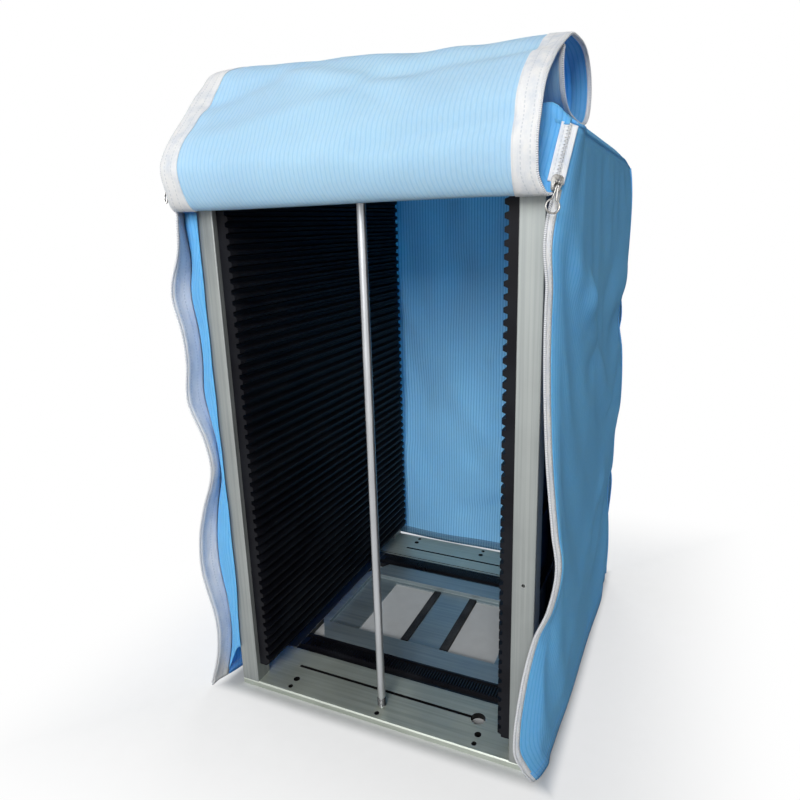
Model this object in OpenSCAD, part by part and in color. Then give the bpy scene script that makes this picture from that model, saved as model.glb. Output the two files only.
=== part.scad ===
// Circuit-board magazine with an adjustable slotted wall, a sprung stop rod
// and a fabric dust cover whose front flap is unzipped and rolled up on top.
// Millimetres. Origin on the floor under the middle of the rack,
// X across the boards, Y from front to back, Z up.

/* [Rack] */
// Width over the posts
rack_w = 320; // [310:1:400]
// Depth, front to back
rack_d = 355; // [345:1:420]
// Height from the floor to the top face
rack_h = 563; // [440:1:620]
// Thickness of the base frame and the top frame
frame_t = 6.5; // [6:0.1:8]
// Depth of the front and rear strips
strip_d = 63; // [60:0.5:66]
// Bevel along the outer edge of a strip
strip_bevel = 1; // [0.5:0.1:2]
// Width of the side rails
rail_w = 25; // [23:0.5:27]
// Side of the square posts
post_w = 20; // [19:0.5:22]
// Wall of the posts
post_wall = 1.6; // [1.2:0.1:2]

/* [Strip holes] */
// Distance of the outer hole pairs from the middle
hole_x = 104; // [95:0.5:110]
// Diameter of the stop rod holes
rod_hole_d = 7; // [6:0.1:8]
// Distance of the stop rod holes from the outer edge
rod_hole_inset = 19; // [17:0.5:21]
// Diameter of the fixing holes
fix_hole_d = 5.2; // [4:0.1:6]
// Distance of the fixing holes from the outer edge
fix_hole_inset = 7.5; // [6:0.5:9]
// Width of the keyhole slots
key_slot_w = 3.4; // [2.5:0.1:4.5]
// Diameter of the round end of a keyhole slot
key_d = 15; // [12:0.5:18]
// Distance of the keyhole slots from the outer edge
key_inset = 38; // [36:0.5:42]
// Distance of the round end from the middle
key_x = 98; // [80:1:105]
// Distance of the narrow end from the middle
key_slot_x = 111; // [100:1:116]

/* [Tray] */
// Sheet thickness of the trays
tray_sheet = 1.5; // [1:0.1:2]
// Room for a toothed rack between a tray and a strip
rack_room = 28; // [27:0.5:30]
// Width of the raised rim at the front and rear
tray_rim_y = 28; // [20:0.5:30]
// Width of the raised rim at the sides
tray_rim_x = 9; // [6:0.5:10]
// Clipped corner across the tray
tray_clip_x = 20; // [10:0.5:24]
// Clipped corner along the tray
tray_clip_y = 30; // [15:0.5:34]
// Width of a window
window_w = 59; // [45:1:66]
// Distance of the windows from the front and rear of the pan
window_edge = 5.5; // [4:0.5:14]
// Width of the web between the windows
web_w = 56; // [44:1:60]
// Width of the rubber trim on each edge of the web
trim_w = 9.5; // [7:0.5:11]
// Thickness of the rubber trim
trim_t = 2; // [1.5:0.1:3]
// Diameter of the four small corner holes
tray_hole_d = 5; // [3:0.5:6]

/* [Walls] */
// Spacing of the board slots
slot_pitch = 10; // [9:0.5:14]
// Depth of a board slot
slot_depth = 5; // [4:0.1:5.5]
// Height of a slot rib at its root
rib_root = 6.4; // [5:0.1:7]
// Height of a slot rib at its tip
rib_tip = 2.4; // [1.6:0.1:3.4]
// Lead-in at the front and rear ends of the ribs
rib_lead = 6; // [3:0.5:10]
// Thickness of a wall behind its ribs
wall_t = 8.7; // [8:0.1:9.5]
// Skin left behind the pockets in the back of a wall
wall_skin = 3; // [2:0.1:4]
// Distance of a wall's ends from the front and rear of the rack
wall_inset = 5.5; // [4:0.5:8]
// Pockets in the back of a wall, front to back
pocket_cols = 4; // [3:1:6]
// Pockets in the back of a wall, bottom to top
pocket_rows = 6; // [4:1:8]
// Width of the stiffening ribs between the pockets
pocket_rib = 5; // [3:0.5:8]

/* [Wall drive] */
// Module of the racks and pinions
gear_module = 1; // [0.9:0.05:1.1]
// Teeth of a pinion
pinion_teeth = 16; // [15:1:18]
// Face width of a pinion
pinion_w = 11; // [9:0.5:12]
// Width of a toothed rack
rack_face = 13; // [12.5:0.5:14]
// Diameter of the drive shafts
shaft_d = 8; // [6:0.5:8]
// Width of a bearing block along its shaft
block_w = 8; // [6:0.5:10]
// Diameter of the lock screws
lock_d = 4; // [3:0.5:4]

/* [Stop rod] */
// Diameter of the rod
rod_d = 8; // [7.8:0.1:9]
// Travel of the rod when it is pressed down
rod_travel = 4.5; // [3:0.1:5]
// Wire of the foot spring
spring_wire = 0.9; // [0.6:0.1:1]
// Length of the foot spring
spring_l = 11; // [9:0.5:16]
// Turns of the foot spring
spring_turns = 6; // [4:1:7]

/* [Cover] */
// Thickness of the fabric with its lining
fabric_t = 1.5; // [1:0.1:2]
// Room between the rack's sides and the cover
side_ease = 18; // [16:0.5:24]
// Room between the rack's front and the zipped edges
front_ease = 9; // [8:0.5:14]
// Room between the rack's rear and the cover
rear_ease = 9; // [6:0.5:16]
// Height of the hem above the floor
hem_z = 2; // [1:0.5:10]
// Fall of the top panel from the rack's edge to the side seams
seam_drop = 12; // [6:0.5:16]
// Gap between the flap's ends and the zips
flap_gap = 0.3; // [0.2:0.1:0.8]
// Width of the white tape at the ends of the flap
flap_tape_w = 20; // [14:0.5:28]
// Width of the white tape on the open front edges
edge_tape_w = 9; // [6:0.5:12]

/* [Zip] */
// Width of the zip with its tapes
zip_w = 12; // [10:0.5:14]
// Length of the stretch that is still closed
zip_l = 39; // [36:1:50]
// How much higher the left-hand slider stands than the right-hand one
left_zip_up = 14; // [0:1:18]
// Diameter of the pull's hinge pin
pull_pin_d = 1.6; // [1.2:0.1:2]
// Length of the pull from its pin
pull_l = 22; // [20:0.5:28]

/* [Hidden] */

$fn = 48;

// Small extra length of a cut, so that it passes its face
cut = 1;
// Gap between pieces that move past each other
move_gap = 0.3;
// Radial gap of a shaft or pin in its bore
run_gap = 0.05;
// Radial gap of a fixed screw or hub in its hole
fit_gap = 0.02;

// Rack
half_w = rack_w / 2;
half_d = rack_d / 2;
strip_in = half_d - strip_d;
rail_in = half_w - rail_w;
post_in = half_w - post_w;
post_x = half_w - post_w / 2;
post_y = half_d - post_w / 2;
post_corner = 1;
ledge_w = 3;
ledge_drop = 0.8;
rod_y = half_d - rod_hole_inset;
screw_d = 5;
screw_head_d = 9.5;
screw_head_t = 2.6;
screw_l = 18;
socket_share = 0.6;
port_wall = 2;
port_web = 1.6;
side_hole_d = 3.4;
side_hole_z = 191;

// Trays
tray_gap = 0.5;
tray_x = rail_in - tray_gap;
tray_y = strip_in - rack_room;
pan_x = tray_x - tray_rim_x;
pan_y = tray_y - tray_rim_y;
window_d = 2 * (pan_y - window_edge);
tray_hole_edge = 8;
trim_bevel = 0.8;

// Racks and pinions
tooth_pitch = PI * gear_module;
pressure = 20;
addendum = gear_module;
dedendum = 1.25 * gear_module;
backlash = 0.2;
tooth_half = tooth_pitch / 4 - backlash / 2;
flank_steps = 4;
flank_foot = 0.1;
root_turn = 0.5;
rack_y = (tray_y + strip_in) / 2;
rack_lip = 2;
channel_depth = 2.5;
rack_floor = frame_t - channel_depth;
rack_tip_z = frame_t + addendum + dedendum;
pitch_r = gear_module * pinion_teeth / 2;
pinion_r = pitch_r + addendum;
base_r = pitch_r * cos(pressure);
shaft_z = frame_t + dedendum + pitch_r;
hub_d = shaft_d + 5;
hub_gap = 0.7;
hub_end = rack_y + rack_face / 2 + hub_gap;
block_gap = 0.6;
block_z = rack_tip_z + block_gap;
shaft_tail = 1.5;
shaft_end = hub_end + move_gap + block_w + shaft_tail;

// Walls
pinion_room = 1;
wall_z = shaft_z + pinion_r + pinion_room;
wall_h = rack_h - 2 * wall_z;
wall_l = rack_d - 2 * wall_inset;
rib_count = floor((wall_h - rib_root) / slot_pitch) + 1;
rib_z = rack_h / 2 - (rib_count - 1) * slot_pitch / 2;
rib_lead_depth = slot_depth / 3;
wall_back = post_in - move_gap;
shaft_x = wall_back - wall_t / 2;
pocket_l = (wall_l - pocket_rib * (pocket_cols + 1)) / pocket_cols;
pocket_h = (wall_h - pocket_rib * (pocket_rows + 1)) / pocket_rows;
block_flange_h = 3 * shaft_d;
block_flange_t = 3;
lock_head_d = 2 * lock_d;
lock_head_t = lock_d;
wall_screw_heights = [0.12, 0.5, 0.88];
wall_screw_d = 4;
wall_screw_bite = 5;
wall_boss_d = 12;
wall_screw_head_d = 8;
wall_screw_head_t = 2.4;

// Stop rod
rod_pin_d = rod_hole_d - 4 * run_gap;
rod_floor_gap = 0.5;
rod_chamfer = 0.5;
rod_foot_z = rod_travel + rod_floor_gap;
rod_shoulder_z = frame_t + spring_l;
rod_top_z = rack_h - frame_t - move_gap;
rod_pin_spare = 0.2;
rod_pin_top = rod_top_z + rod_travel - rod_pin_spare;
spring_gap = 0.1;
spring_r = rod_pin_d / 2 + spring_gap + spring_wire / 2;
spring_ring = 14;
spring_sides = 6;

// Cover
seat_z = rack_h + move_gap;
cover_x = half_w + side_ease;
cover_front = -(half_d + front_ease);
cover_back = half_d + rear_ease;
seam_z = seat_z - seam_drop;
corner_r = 14;
edge_fade = 52;
panel_rows = 26;
panel_cols = 7;
corner_step = 15;
seam_steps = 6;

// Turn of the tapes on the front edges from the sides towards the front
right_turn = 30;
left_turn = 0;

// Zipped top of the front edges: swing at the zips' feet and at the side seams,
// inwards of the side panels and behind the zipped front
zip_swing = -11;
zip_top_swing = -4;
zip_edge_y = -2;
zip_edge_top = 10;
zip_seam_gap = 2;
zip_top_z = seat_z - fabric_t - seam_drop * (side_ease + zip_top_swing) / side_ease;
zip_z = zip_top_z - zip_l - zip_seam_gap;

// Share of the front edges below the zips, and the share over which they settle to the zips
zip_share = (zip_z - zip_seam_gap - hem_z) / (zip_top_z - hem_z);
zip_settle = 0.03;

// Zip on the right-hand edge: its run outwards, backwards and up, its place and its turn to the front
zip_t = 1.6;
zip_tape_t = 1;
zip_coil_w = 3;
zip_stand = 0.6;
zip_run = [zip_top_swing - zip_swing, zip_edge_top - zip_edge_y, zip_l + 2 * zip_seam_gap];
zip_splay = atan(zip_run[0] / norm([zip_run[1], zip_run[2]]));
zip_lean = atan(zip_run[1] / zip_run[2]);
zip_turn = 60;
zip_foot = zip_seam_gap / zip_run[2];
zip_x = cover_x + zip_swing + zip_foot * zip_run[0] + zip_stand;
zip_y = cover_front + zip_edge_y + zip_foot * zip_run[1] - zip_stand;
flap_x = zip_x - zip_w / 2 * sin(zip_turn) - flap_gap;

// Open front edges, from hem to top seam:
// height as a share of the edge, swing outwards, swing backwards
right_edge = [
    [0, -12, 0], [0.05, -18, -16], [0.1, -22, -25], [0.2, -18, -18], [0.27, -12, -4],
    [0.32, 0, -1], [0.39, 6, -1], [0.45, 2, -2], [0.58, -6, -3], [0.74, -11, -6],
    [zip_share - zip_settle, zip_swing, zip_edge_y], [zip_share, zip_swing, zip_edge_y],
    [1, zip_top_swing, zip_edge_top]
];
left_edge = [
    [0, 11, -9], [0.07, 4, -2], [0.14, 3, 0], [0.24, 14, 0], [0.31, 12, 0], [0.37, 3, 0],
    [0.45, -13, 0], [0.51, -9, 0], [0.58, 6, 0], [0.65, 2, 0], [0.74, 11, 0], [0.81, -2, 0],
    [zip_share - zip_settle, zip_swing, zip_edge_y], [zip_share, zip_swing, zip_edge_y],
    [1, zip_top_swing, zip_edge_top]
];

// Rolled flap seen from the side, from its top seam down and round to its loose end:
// distance behind the zipped edges, height above the seat
roll_path = [
    [8, 0.5], [3, -14], [0, -36], [-2, -54], [-8, -63], [-15, -58], [-21, -44], [-22, -26],
    [-14, -7], [0, 10], [17, 26], [34, 39], [58, 52], [88, 60], [122, 62], [150, 55],
    [167, 40], [169, 22], [157, 8], [132, 2.4], [100, 2.6], [78, 5], [62, 16], [53, 32], [57, 47]
];
roll_steps = 4;

// Slider and pull
slider_w = 8;
slider_tail_w = 5.4;
slider_l = 11;
slider_t = 3.2;
ear_t = 1.2;
ear_h = 3.6;
pull_t = 1.4;
pull_eye_d = pull_pin_d + 2 * pull_t;
pull_ring_d = 11;
pin_x = zip_x + zip_t + move_gap + slider_t + pull_eye_d / 2 + move_gap;

// Colours
aluminium = [0.70, 0.72, 0.71];
plate_steel = [0.48, 0.51, 0.50];
tray_steel = [0.50, 0.56, 0.60];
black_plastic = [0.06, 0.06, 0.07];
rubber = [0.12, 0.12, 0.13];
bright_steel = [0.80, 0.80, 0.79];
blue_fabric = [0.42, 0.68, 0.90];
white_tape = [0.92, 0.93, 0.95];
zip_grey = [0.80, 0.80, 0.78];

// Placing

module at_top() {
    translate([0, 0, rack_h]) mirror([0, 0, 1]) children();
}

module at_rear() {
    mirror([0, 1, 0]) children();
}

module at_left() {
    mirror([1, 0, 0]) children();
}

// Extrudes a profile drawn in Y and Z along X, from x0 to x1
module along_x(x0, x1) {
    translate([x0, 0, 0]) rotate([90, 0, 90]) linear_extrude(x1 - x0) children();
}

// Extrudes a profile drawn in X and Z along Y, from y0 to y1
module along_y(y0, y1) {
    translate([0, y1, 0]) rotate([90, 0, 0]) linear_extrude(y1 - y0) children();
}

module rounded_square(w, r) {
    square([w - 2 * r, w], center = true);
    square([w, w - 2 * r], center = true);
    for (x = [-1, 1], y = [-1, 1]) {
        translate([x * (w / 2 - r), y * (w / 2 - r)]) circle(r);
    }
}

// Frames: strips, rails, trays and racks, drawn as they lie in the base

module strip() {
    difference() {
        along_x(-half_w, half_w) polygon([
            [-half_d, 0],
            [-strip_in, 0],
            [-strip_in, frame_t - ledge_drop],
            [-strip_in - ledge_w, frame_t - ledge_drop],
            [-strip_in - ledge_w, frame_t],
            [-half_d + strip_bevel, frame_t],
            [-half_d, frame_t - strip_bevel]
        ]);
        for (x = [-hole_x, 0, hole_x]) {
            drill(x, rod_hole_inset, rod_hole_d);
            drill(x, fix_hole_inset, fix_hole_d);
        }
        drill(key_x, key_inset, key_d);
        drill(-key_slot_x, key_inset, key_slot_w);
        translate([-key_slot_x, -half_d + key_inset - key_slot_w / 2, -cut])
            cube([key_slot_x + key_x, key_slot_w, frame_t + 2 * cut]);
        for (x = [-post_x, post_x]) {
            translate([x, -post_y, 0]) screw_seat();
        }
    }
}

module drill(x, inset, d) {
    translate([x, -half_d + inset, -cut]) cylinder(d = d, h = frame_t + 2 * cut);
}

module screw_seat() {
    translate([0, 0, -cut]) cylinder(d = screw_d + 2 * fit_gap, h = frame_t + 2 * cut);
    translate([0, 0, -cut]) cylinder(d = screw_head_d + 2 * fit_gap, h = screw_head_t + cut);
}

// Recessed-head screws that hold the posts to a frame
module frame_screws() {
    for (x = [-post_x, post_x], y = [-post_y, post_y]) {
        translate([x, y, 0]) difference() {
            union() {
                cylinder(d = screw_head_d, h = screw_head_t);
                cylinder(d = screw_d, h = screw_l);
            }
            translate([0, 0, -cut]) cylinder(d = socket_share * screw_d, h = cut + socket_share * screw_head_t, $fn = 6);
        }
    }
}

module rail() {
    translate([rail_in, -strip_in, 0]) cube([rail_w, 2 * strip_in, frame_t]);
}

module tray_outline() {
    polygon([for (q = [[1, 1], [-1, 1], [-1, -1], [1, -1]], k = [0, 1]) clipped_corner(q, k)]);
}

// The two ends of a clipped corner, in order round the tray
function clipped_corner(q, k) =
    let (first = (q[0] * q[1] > 0) ? 1 - k : k)
    first == 1
        ? [q[0] * tray_x, q[1] * (tray_y - tray_clip_y)]
        : [q[0] * (tray_x - tray_clip_x), q[1] * tray_y];

module tray() {
    difference() {
        linear_extrude(frame_t) tray_outline();
        translate([-pan_x, -pan_y, tray_sheet]) cube([2 * pan_x, 2 * pan_y, frame_t]);
        translate([0, 0, -cut]) linear_extrude(frame_t - tray_sheet + cut) difference() {
            square([rack_w, rack_d], center = true);
            square([2 * (pan_x + tray_sheet), 2 * (pan_y + tray_sheet)], center = true);
        }
        for (side = [-1, 1]) {
            translate([side * (web_w + window_w) / 2 - window_w / 2, -window_d / 2, -cut])
                cube([window_w, window_d, frame_t]);
        }
        for (x = [-1, 1], y = [-1, 1]) {
            translate([x * (pan_x - tray_hole_edge), y * (pan_y - tray_hole_edge / 2), -cut])
                cylinder(d = tray_hole_d, h = frame_t);
        }
    }
}

// Rubber angle over each edge of the web
module edge_trims() {
    for (side = [0, 1]) {
        mirror([side, 0, 0]) along_y(-window_d / 2, window_d / 2) polygon([
            [web_w / 2 + trim_t - trim_w, tray_sheet],
            [web_w / 2, tray_sheet],
            [web_w / 2, 0],
            [web_w / 2 + trim_t, 0],
            [web_w / 2 + trim_t, tray_sheet + trim_t - trim_bevel],
            [web_w / 2 + trim_t - trim_bevel, tray_sheet + trim_t],
            [web_w / 2 + trim_t - trim_w, tray_sheet + trim_t]
        ]);
    }
}

// Toothed rack in its channel. A gap lies under the shaft, ready for a pinion tooth.
module toothed_rack() {
    flank = tan(pressure);
    tip = tooth_pitch / 2 - 2 * addendum * flank;
    root = tooth_pitch / 2 + 2 * dedendum * flank;
    shift = (shaft_x - tooth_pitch / 2) % tooth_pitch;
    reach = floor((rail_in - tooth_pitch) / tooth_pitch);
    along_y(-rack_y - rack_face / 2, -rack_y + rack_face / 2) polygon(concat(
        [[rail_in, 0], [-rail_in, 0], [-rail_in, frame_t]],
        [for (k = [-reach:reach], p = [[-root, 0], [-tip, 1], [tip, 1], [root, 0]])
            [k * tooth_pitch + shift + p[0] / 2, p[1] > 0 ? rack_tip_z : frame_t]],
        [[rail_in, frame_t]]
    ));
    along_x(-rail_in, rail_in) polygon([
        [-strip_in, 0],
        [-tray_y, 0],
        [-tray_y, frame_t],
        [-tray_y - rack_lip, frame_t],
        [-tray_y - rack_lip, rack_floor],
        [-strip_in + rack_lip, rack_floor],
        [-strip_in + rack_lip, frame_t - ledge_drop],
        [-strip_in, frame_t - ledge_drop]
    ]);
}

// Posts: square tubes with a screw port on webs

module post(side_hole) {
    difference() {
        translate([post_x, -post_y, frame_t]) linear_extrude(rack_h - 2 * frame_t) difference() {
            rounded_square(post_w, post_corner);
            difference() {
                square(post_w - 2 * post_wall, center = true);
                circle(d = screw_d + 2 * port_wall);
                square([post_w, port_web], center = true);
                square([port_web, post_w], center = true);
            }
            circle(d = screw_d + 2 * fit_gap);
        }
        if (side_hole) {
            translate([post_x, -post_y, side_hole_z]) rotate([90, 0, 0])
                cylinder(d = side_hole_d, h = post_w);
        }
        else {
            for (h = wall_screw_heights) {
                translate([post_in - cut, -post_y, wall_z + h * wall_h]) rotate([0, 90, 0])
                    cylinder(d = wall_screw_d + 2 * fit_gap, h = post_w + 2 * cut);
            }
        }
    }
}

// Walls, drawn as the right-hand wall with its back at the given place

module wall_panel(back) {
    difference() {
        translate([back - wall_t, -wall_l / 2, wall_z]) cube([wall_t, wall_l, wall_h]);
        for (col = [0:pocket_cols - 1], row = [0:pocket_rows - 1]) {
            translate([
                back - wall_t + wall_skin,
                -wall_l / 2 + pocket_rib + col * (pocket_l + pocket_rib),
                wall_z + pocket_rib + row * (pocket_h + pocket_rib)
            ]) cube([wall_t, pocket_l, pocket_h]);
        }
    }
}

// One rib between each pair of board slots, with a lead-in at both ends
module wall_ribs(back) {
    foot = back - wall_t;
    tip = foot - slot_depth;
    intersection() {
        along_y(-wall_l / 2, wall_l / 2) for (k = [0:rib_count - 1]) {
            translate([0, rib_z + k * slot_pitch]) polygon([
                [foot, -rib_root / 2],
                [foot, rib_root / 2],
                [tip, rib_tip / 2],
                [tip, -rib_tip / 2]
            ]);
        }
        linear_extrude(rack_h) polygon([
            [foot, -wall_l / 2],
            [foot, wall_l / 2],
            [tip + rib_lead_depth, wall_l / 2],
            [tip, wall_l / 2 - rib_lead],
            [tip, -wall_l / 2 + rib_lead],
            [tip + rib_lead_depth, -wall_l / 2]
        ]);
    }
}

module wall_screw_places() {
    for (y = [-post_y, post_y], h = wall_screw_heights) {
        translate([half_w, y, wall_z + h * wall_h]) rotate([0, -90, 0]) children();
    }
}

module wall_screws() {
    wall_screw_places() {
        cylinder(d = wall_screw_d, h = post_w + wall_screw_bite);
        translate([0, 0, -wall_screw_head_t]) difference() {
            cylinder(d = wall_screw_head_d, h = wall_screw_head_t);
            translate([0, 0, -cut]) cylinder(
                d = socket_share * wall_screw_d,
                h = cut + socket_share * wall_screw_head_t,
                $fn = 6
            );
        }
    }
}

module wall_screw_holes() {
    wall_screw_places() cylinder(d = wall_screw_d + 2 * fit_gap, h = post_w + wall_screw_bite + fit_gap);
}

// Solid bosses that take the wall screws where a pocket would be
module wall_screw_bosses() {
    intersection() {
        wall_screw_places() cylinder(d = wall_boss_d, h = post_w + wall_t - wall_skin);
        translate([post_in - wall_t, -wall_l / 2, wall_z]) cube([wall_t, wall_l, wall_h]);
    }
}

// Wall drive: bearing blocks under the wall, shafts and pinions, drawn at the lower front

module bearing_block() {
    y0 = -hub_end - move_gap - block_w;
    y1 = -hub_end - move_gap;
    difference() {
        union() {
            translate([shaft_x - wall_t / 2, y0, block_z])
                cube([wall_t + block_flange_t, block_w, wall_z - block_z]);
            translate([wall_back, y0, wall_z]) cube([block_flange_t, block_w, block_flange_h]);
        }
        translate([shaft_x, y1 + cut, shaft_z]) rotate([90, 0, 0])
            cylinder(d = shaft_d + 2 * run_gap, h = block_w + 2 * cut);
        translate([shaft_x, (y0 + y1) / 2, shaft_z]) rotate([0, 90, 0])
            cylinder(d = lock_d + 2 * fit_gap, h = wall_t + block_flange_t);
    }
}

// Lock screw, clear of the shaft until it is tightened
module lock_screw() {
    y = -hub_end - move_gap - block_w / 2;
    face = wall_back + block_flange_t;
    translate([shaft_x + shaft_d / 2 + run_gap, y, shaft_z]) rotate([0, 90, 0])
        cylinder(d = lock_d, h = face - shaft_x - shaft_d / 2 - run_gap);
    translate([face, y, shaft_z]) rotate([0, 90, 0]) difference() {
        cylinder(d = lock_head_d, h = lock_head_t);
        translate([0, 0, lock_head_t / 2]) cylinder(d = lock_d, h = lock_head_t, $fn = 6);
    }
}

module drive_shaft() {
    translate([shaft_x, shaft_end, shaft_z]) rotate([90, 0, 0]) cylinder(d = shaft_d, h = 2 * shaft_end);
}

// Point on a tooth flank where the tooth is r from the axis, as an angle from the tooth's middle
function flank_angle(r) =
    let (a = acos(min(1, base_r / r)))
    (180 / PI) * (tooth_half / pitch_r + involute(pressure) - involute(a));
function involute(a) = tan(a) - a * PI / 180;

module pinion_outline() {
    root_r = pitch_r - dedendum;
    low_r = max(base_r, root_r + flank_foot);
    radii = [for (k = [0:flank_steps]) low_r + (pinion_r - run_gap - low_r) * k / flank_steps];
    polygon([for (tooth = [0:pinion_teeth - 1])
        let (mid = 360 * tooth / pinion_teeth - 90)
        each concat(
            [root_r * direction(mid - flank_angle(low_r) - root_turn)],
            [for (r = radii) r * direction(mid - flank_angle(r))],
            [for (k = [flank_steps:-1:0]) radii[k] * direction(mid + flank_angle(radii[k]))],
            [root_r * direction(mid + flank_angle(low_r) + root_turn)]
        )
    ]);
}

function direction(a) = [cos(a), sin(a)];

module pinion() {
    translate([shaft_x, 0, shaft_z]) difference() {
        union() {
            along_y(-rack_y - pinion_w / 2, -rack_y + pinion_w / 2) pinion_outline();
            along_y(-hub_end, -rack_y) circle(d = hub_d);
        }
        along_y(-half_d, 0) circle(d = shaft_d + 2 * fit_gap);
    }
}

// Stop rod with a pin at each end, and the spring round its foot

module rod_body() {
    translate([0, -rod_y, 0]) rotate_extrude() polygon([
        [0, rod_foot_z],
        [rod_pin_d / 2 - rod_chamfer, rod_foot_z],
        [rod_pin_d / 2, rod_foot_z + rod_chamfer],
        [rod_pin_d / 2, rod_shoulder_z],
        [rod_d / 2, rod_shoulder_z],
        [rod_d / 2, rod_top_z],
        [rod_pin_d / 2, rod_top_z],
        [rod_pin_d / 2, rod_pin_top - rod_chamfer],
        [rod_pin_d / 2 - rod_chamfer, rod_pin_top],
        [0, rod_pin_top]
    ]);
}

function spring_point(k, j) =
    let (
        turn = k / spring_ring,
        low = frame_t + spring_gap + spring_wire / 2,
        high = rod_shoulder_z - spring_gap - spring_wire / 2,
        r = spring_r + spring_wire / 2 * cos(360 * j / spring_sides)
    )
    [
        r * cos(360 * turn),
        r * sin(360 * turn),
        low + (high - low) * turn / spring_turns + spring_wire / 2 * sin(360 * j / spring_sides)
    ];

module spring_coil() {
    last = spring_turns * spring_ring;
    n = spring_sides;
    translate([0, -rod_y, 0]) polyhedron(
        points = [for (k = [0:last], j = [0:n - 1]) spring_point(k, j)],
        faces = concat(
            [[for (j = [0:n - 1]) j]],
            [for (k = [0:last - 1], j = [0:n - 1])
                [k * n + j, (k + 1) * n + j, (k + 1) * n + (j + 1) % n, k * n + (j + 1) % n]],
            [[for (j = [n - 1:-1:0]) last * n + j]]
        )
    );
}

// Cover

// Smooth curve through a list whose rows start with the place along the curve
function slope(list, i, c) =
    let (a = max(i - 1, 0), b = min(i + 1, len(list) - 1))
    (list[b][c] - list[a][c]) / (list[b][0] - list[a][0]);
function segment(list, t) = max([0, for (i = [0:len(list) - 2]) if (list[i][0] <= t) i]);
function curve(list, t, c) =
    let (
        i = segment(list, t),
        w = list[i + 1][0] - list[i][0],
        u = (t - list[i][0]) / w,
        u2 = u * u,
        u3 = u2 * u
    )
    (2 * u3 - 3 * u2 + 1) * list[i][c] + (u3 - 2 * u2 + u) * w * slope(list, i, c)
    + (3 * u2 - 2 * u3) * list[i + 1][c] + (u3 - u2) * w * slope(list, i + 1, c);

function ease(u) = let (v = max(0, min(1, u))) v * v * (3 - 2 * v);

// Swing outwards of a side panel: the tape stays flat, and behind it the swing fades out
function swing(edge, turn, back, t) =
    let (rest = 1 - min(1, max(0, back - edge_tape_w) / edge_fade))
    (curve(edge, t, 1) + min(back, edge_tape_w) * sin(turn)) * rest * rest;

// Place of a side panel's point from front to back
function depth(edge, turn, back, t) =
    cover_front + curve(edge, t, 2) + back - min(back, edge_tape_w) * (1 - cos(turn));

// Point of a side panel on its outer face: back is the distance behind the open edge
function side_point(edge, turn, back, t) =
    let (
        x_top = cover_x + swing(edge, turn, back, 1),
        z_top = seat_z - fabric_t - seam_drop * (x_top - half_w) / side_ease
    )
    [
        cover_x + swing(edge, turn, back, t),
        depth(edge, turn, back, t),
        hem_z + (z_top - hem_z) * t
    ];

// Closed sheet between a grid of outer points and the same grid moved inwards along X
module side_sheet(rows) {
    m = len(rows);
    n = len(rows[0]);
    outer = [for (row = rows) each row];
    inner = [for (row = rows, p = row) p - [fabric_t, 0, 0]];
    h = m * n;
    polyhedron(
        points = concat(outer, inner),
        faces = concat(
            [for (i = [0:m - 2], j = [0:n - 2]) each split(
                i * n + j, i * n + j + 1, (i + 1) * n + j + 1, (i + 1) * n + j)],
            [for (i = [0:m - 2], j = [0:n - 2]) each split(
                h + i * n + j, h + (i + 1) * n + j, h + (i + 1) * n + j + 1, h + i * n + j + 1)],
            [for (i = [0:m - 2]) each split(i * n, (i + 1) * n, h + (i + 1) * n, h + i * n)],
            [for (i = [0:m - 2]) each split(
                (i + 1) * n + n - 1, i * n + n - 1, h + i * n + n - 1, h + (i + 1) * n + n - 1)],
            [for (j = [0:n - 2]) each split(j + 1, j, h + j, h + j + 1)],
            [for (j = [0:n - 2]) each split(
                (m - 1) * n + j, (m - 1) * n + j + 1, h + (m - 1) * n + j + 1, h + (m - 1) * n + j)]
        )
    );
}

function split(a, b, c, d) = [[a, c, b], [a, d, c]];

// Distances behind the open edge at which a side panel has its columns
function panel_back(edge, turn, t, j) =
    j == panel_cols - 1
        ? edge_tape_w + cover_back - corner_r - depth(edge, turn, edge_tape_w, t)
        : edge_tape_w + edge_fade * j / (panel_cols - 2);

module side_panel(edge, turn) {
    side_sheet([for (i = [0:panel_rows])
        [for (j = [0:panel_cols - 1])
            let (t = i / panel_rows)
            side_point(edge, turn, panel_back(edge, turn, t, j), t)]]);
}

module edge_tape(edge, turn) {
    side_sheet([for (i = [0:panel_rows])
        [for (back = [0, edge_tape_w])
            side_point(edge, turn, back, i / panel_rows)]]);
}

// Plan of the rear edge with its two rounded corners, from right to left
function rear_edge(r) =
    let (corner = [for (a = [0:corner_step:90]) [cover_x - corner_r, cover_back - corner_r] + r * direction(a)])
    concat(corner, [for (k = [len(corner) - 1:-1:0]) [-corner[k][0], corner[k][1]]]);

module back_panel() {
    intersection() {
        linear_extrude(seat_z) difference() {
            polygon(rear_edge(corner_r));
            polygon(rear_edge(corner_r - fabric_t));
        }
        along_y(0, cover_back) polygon([
            [-cover_x, hem_z],
            [cover_x, hem_z],
            [cover_x, seam_z - fabric_t],
            [half_w, seat_z],
            [-half_w, seat_z],
            [-cover_x, seam_z - fabric_t]
        ]);
    }
}

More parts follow.
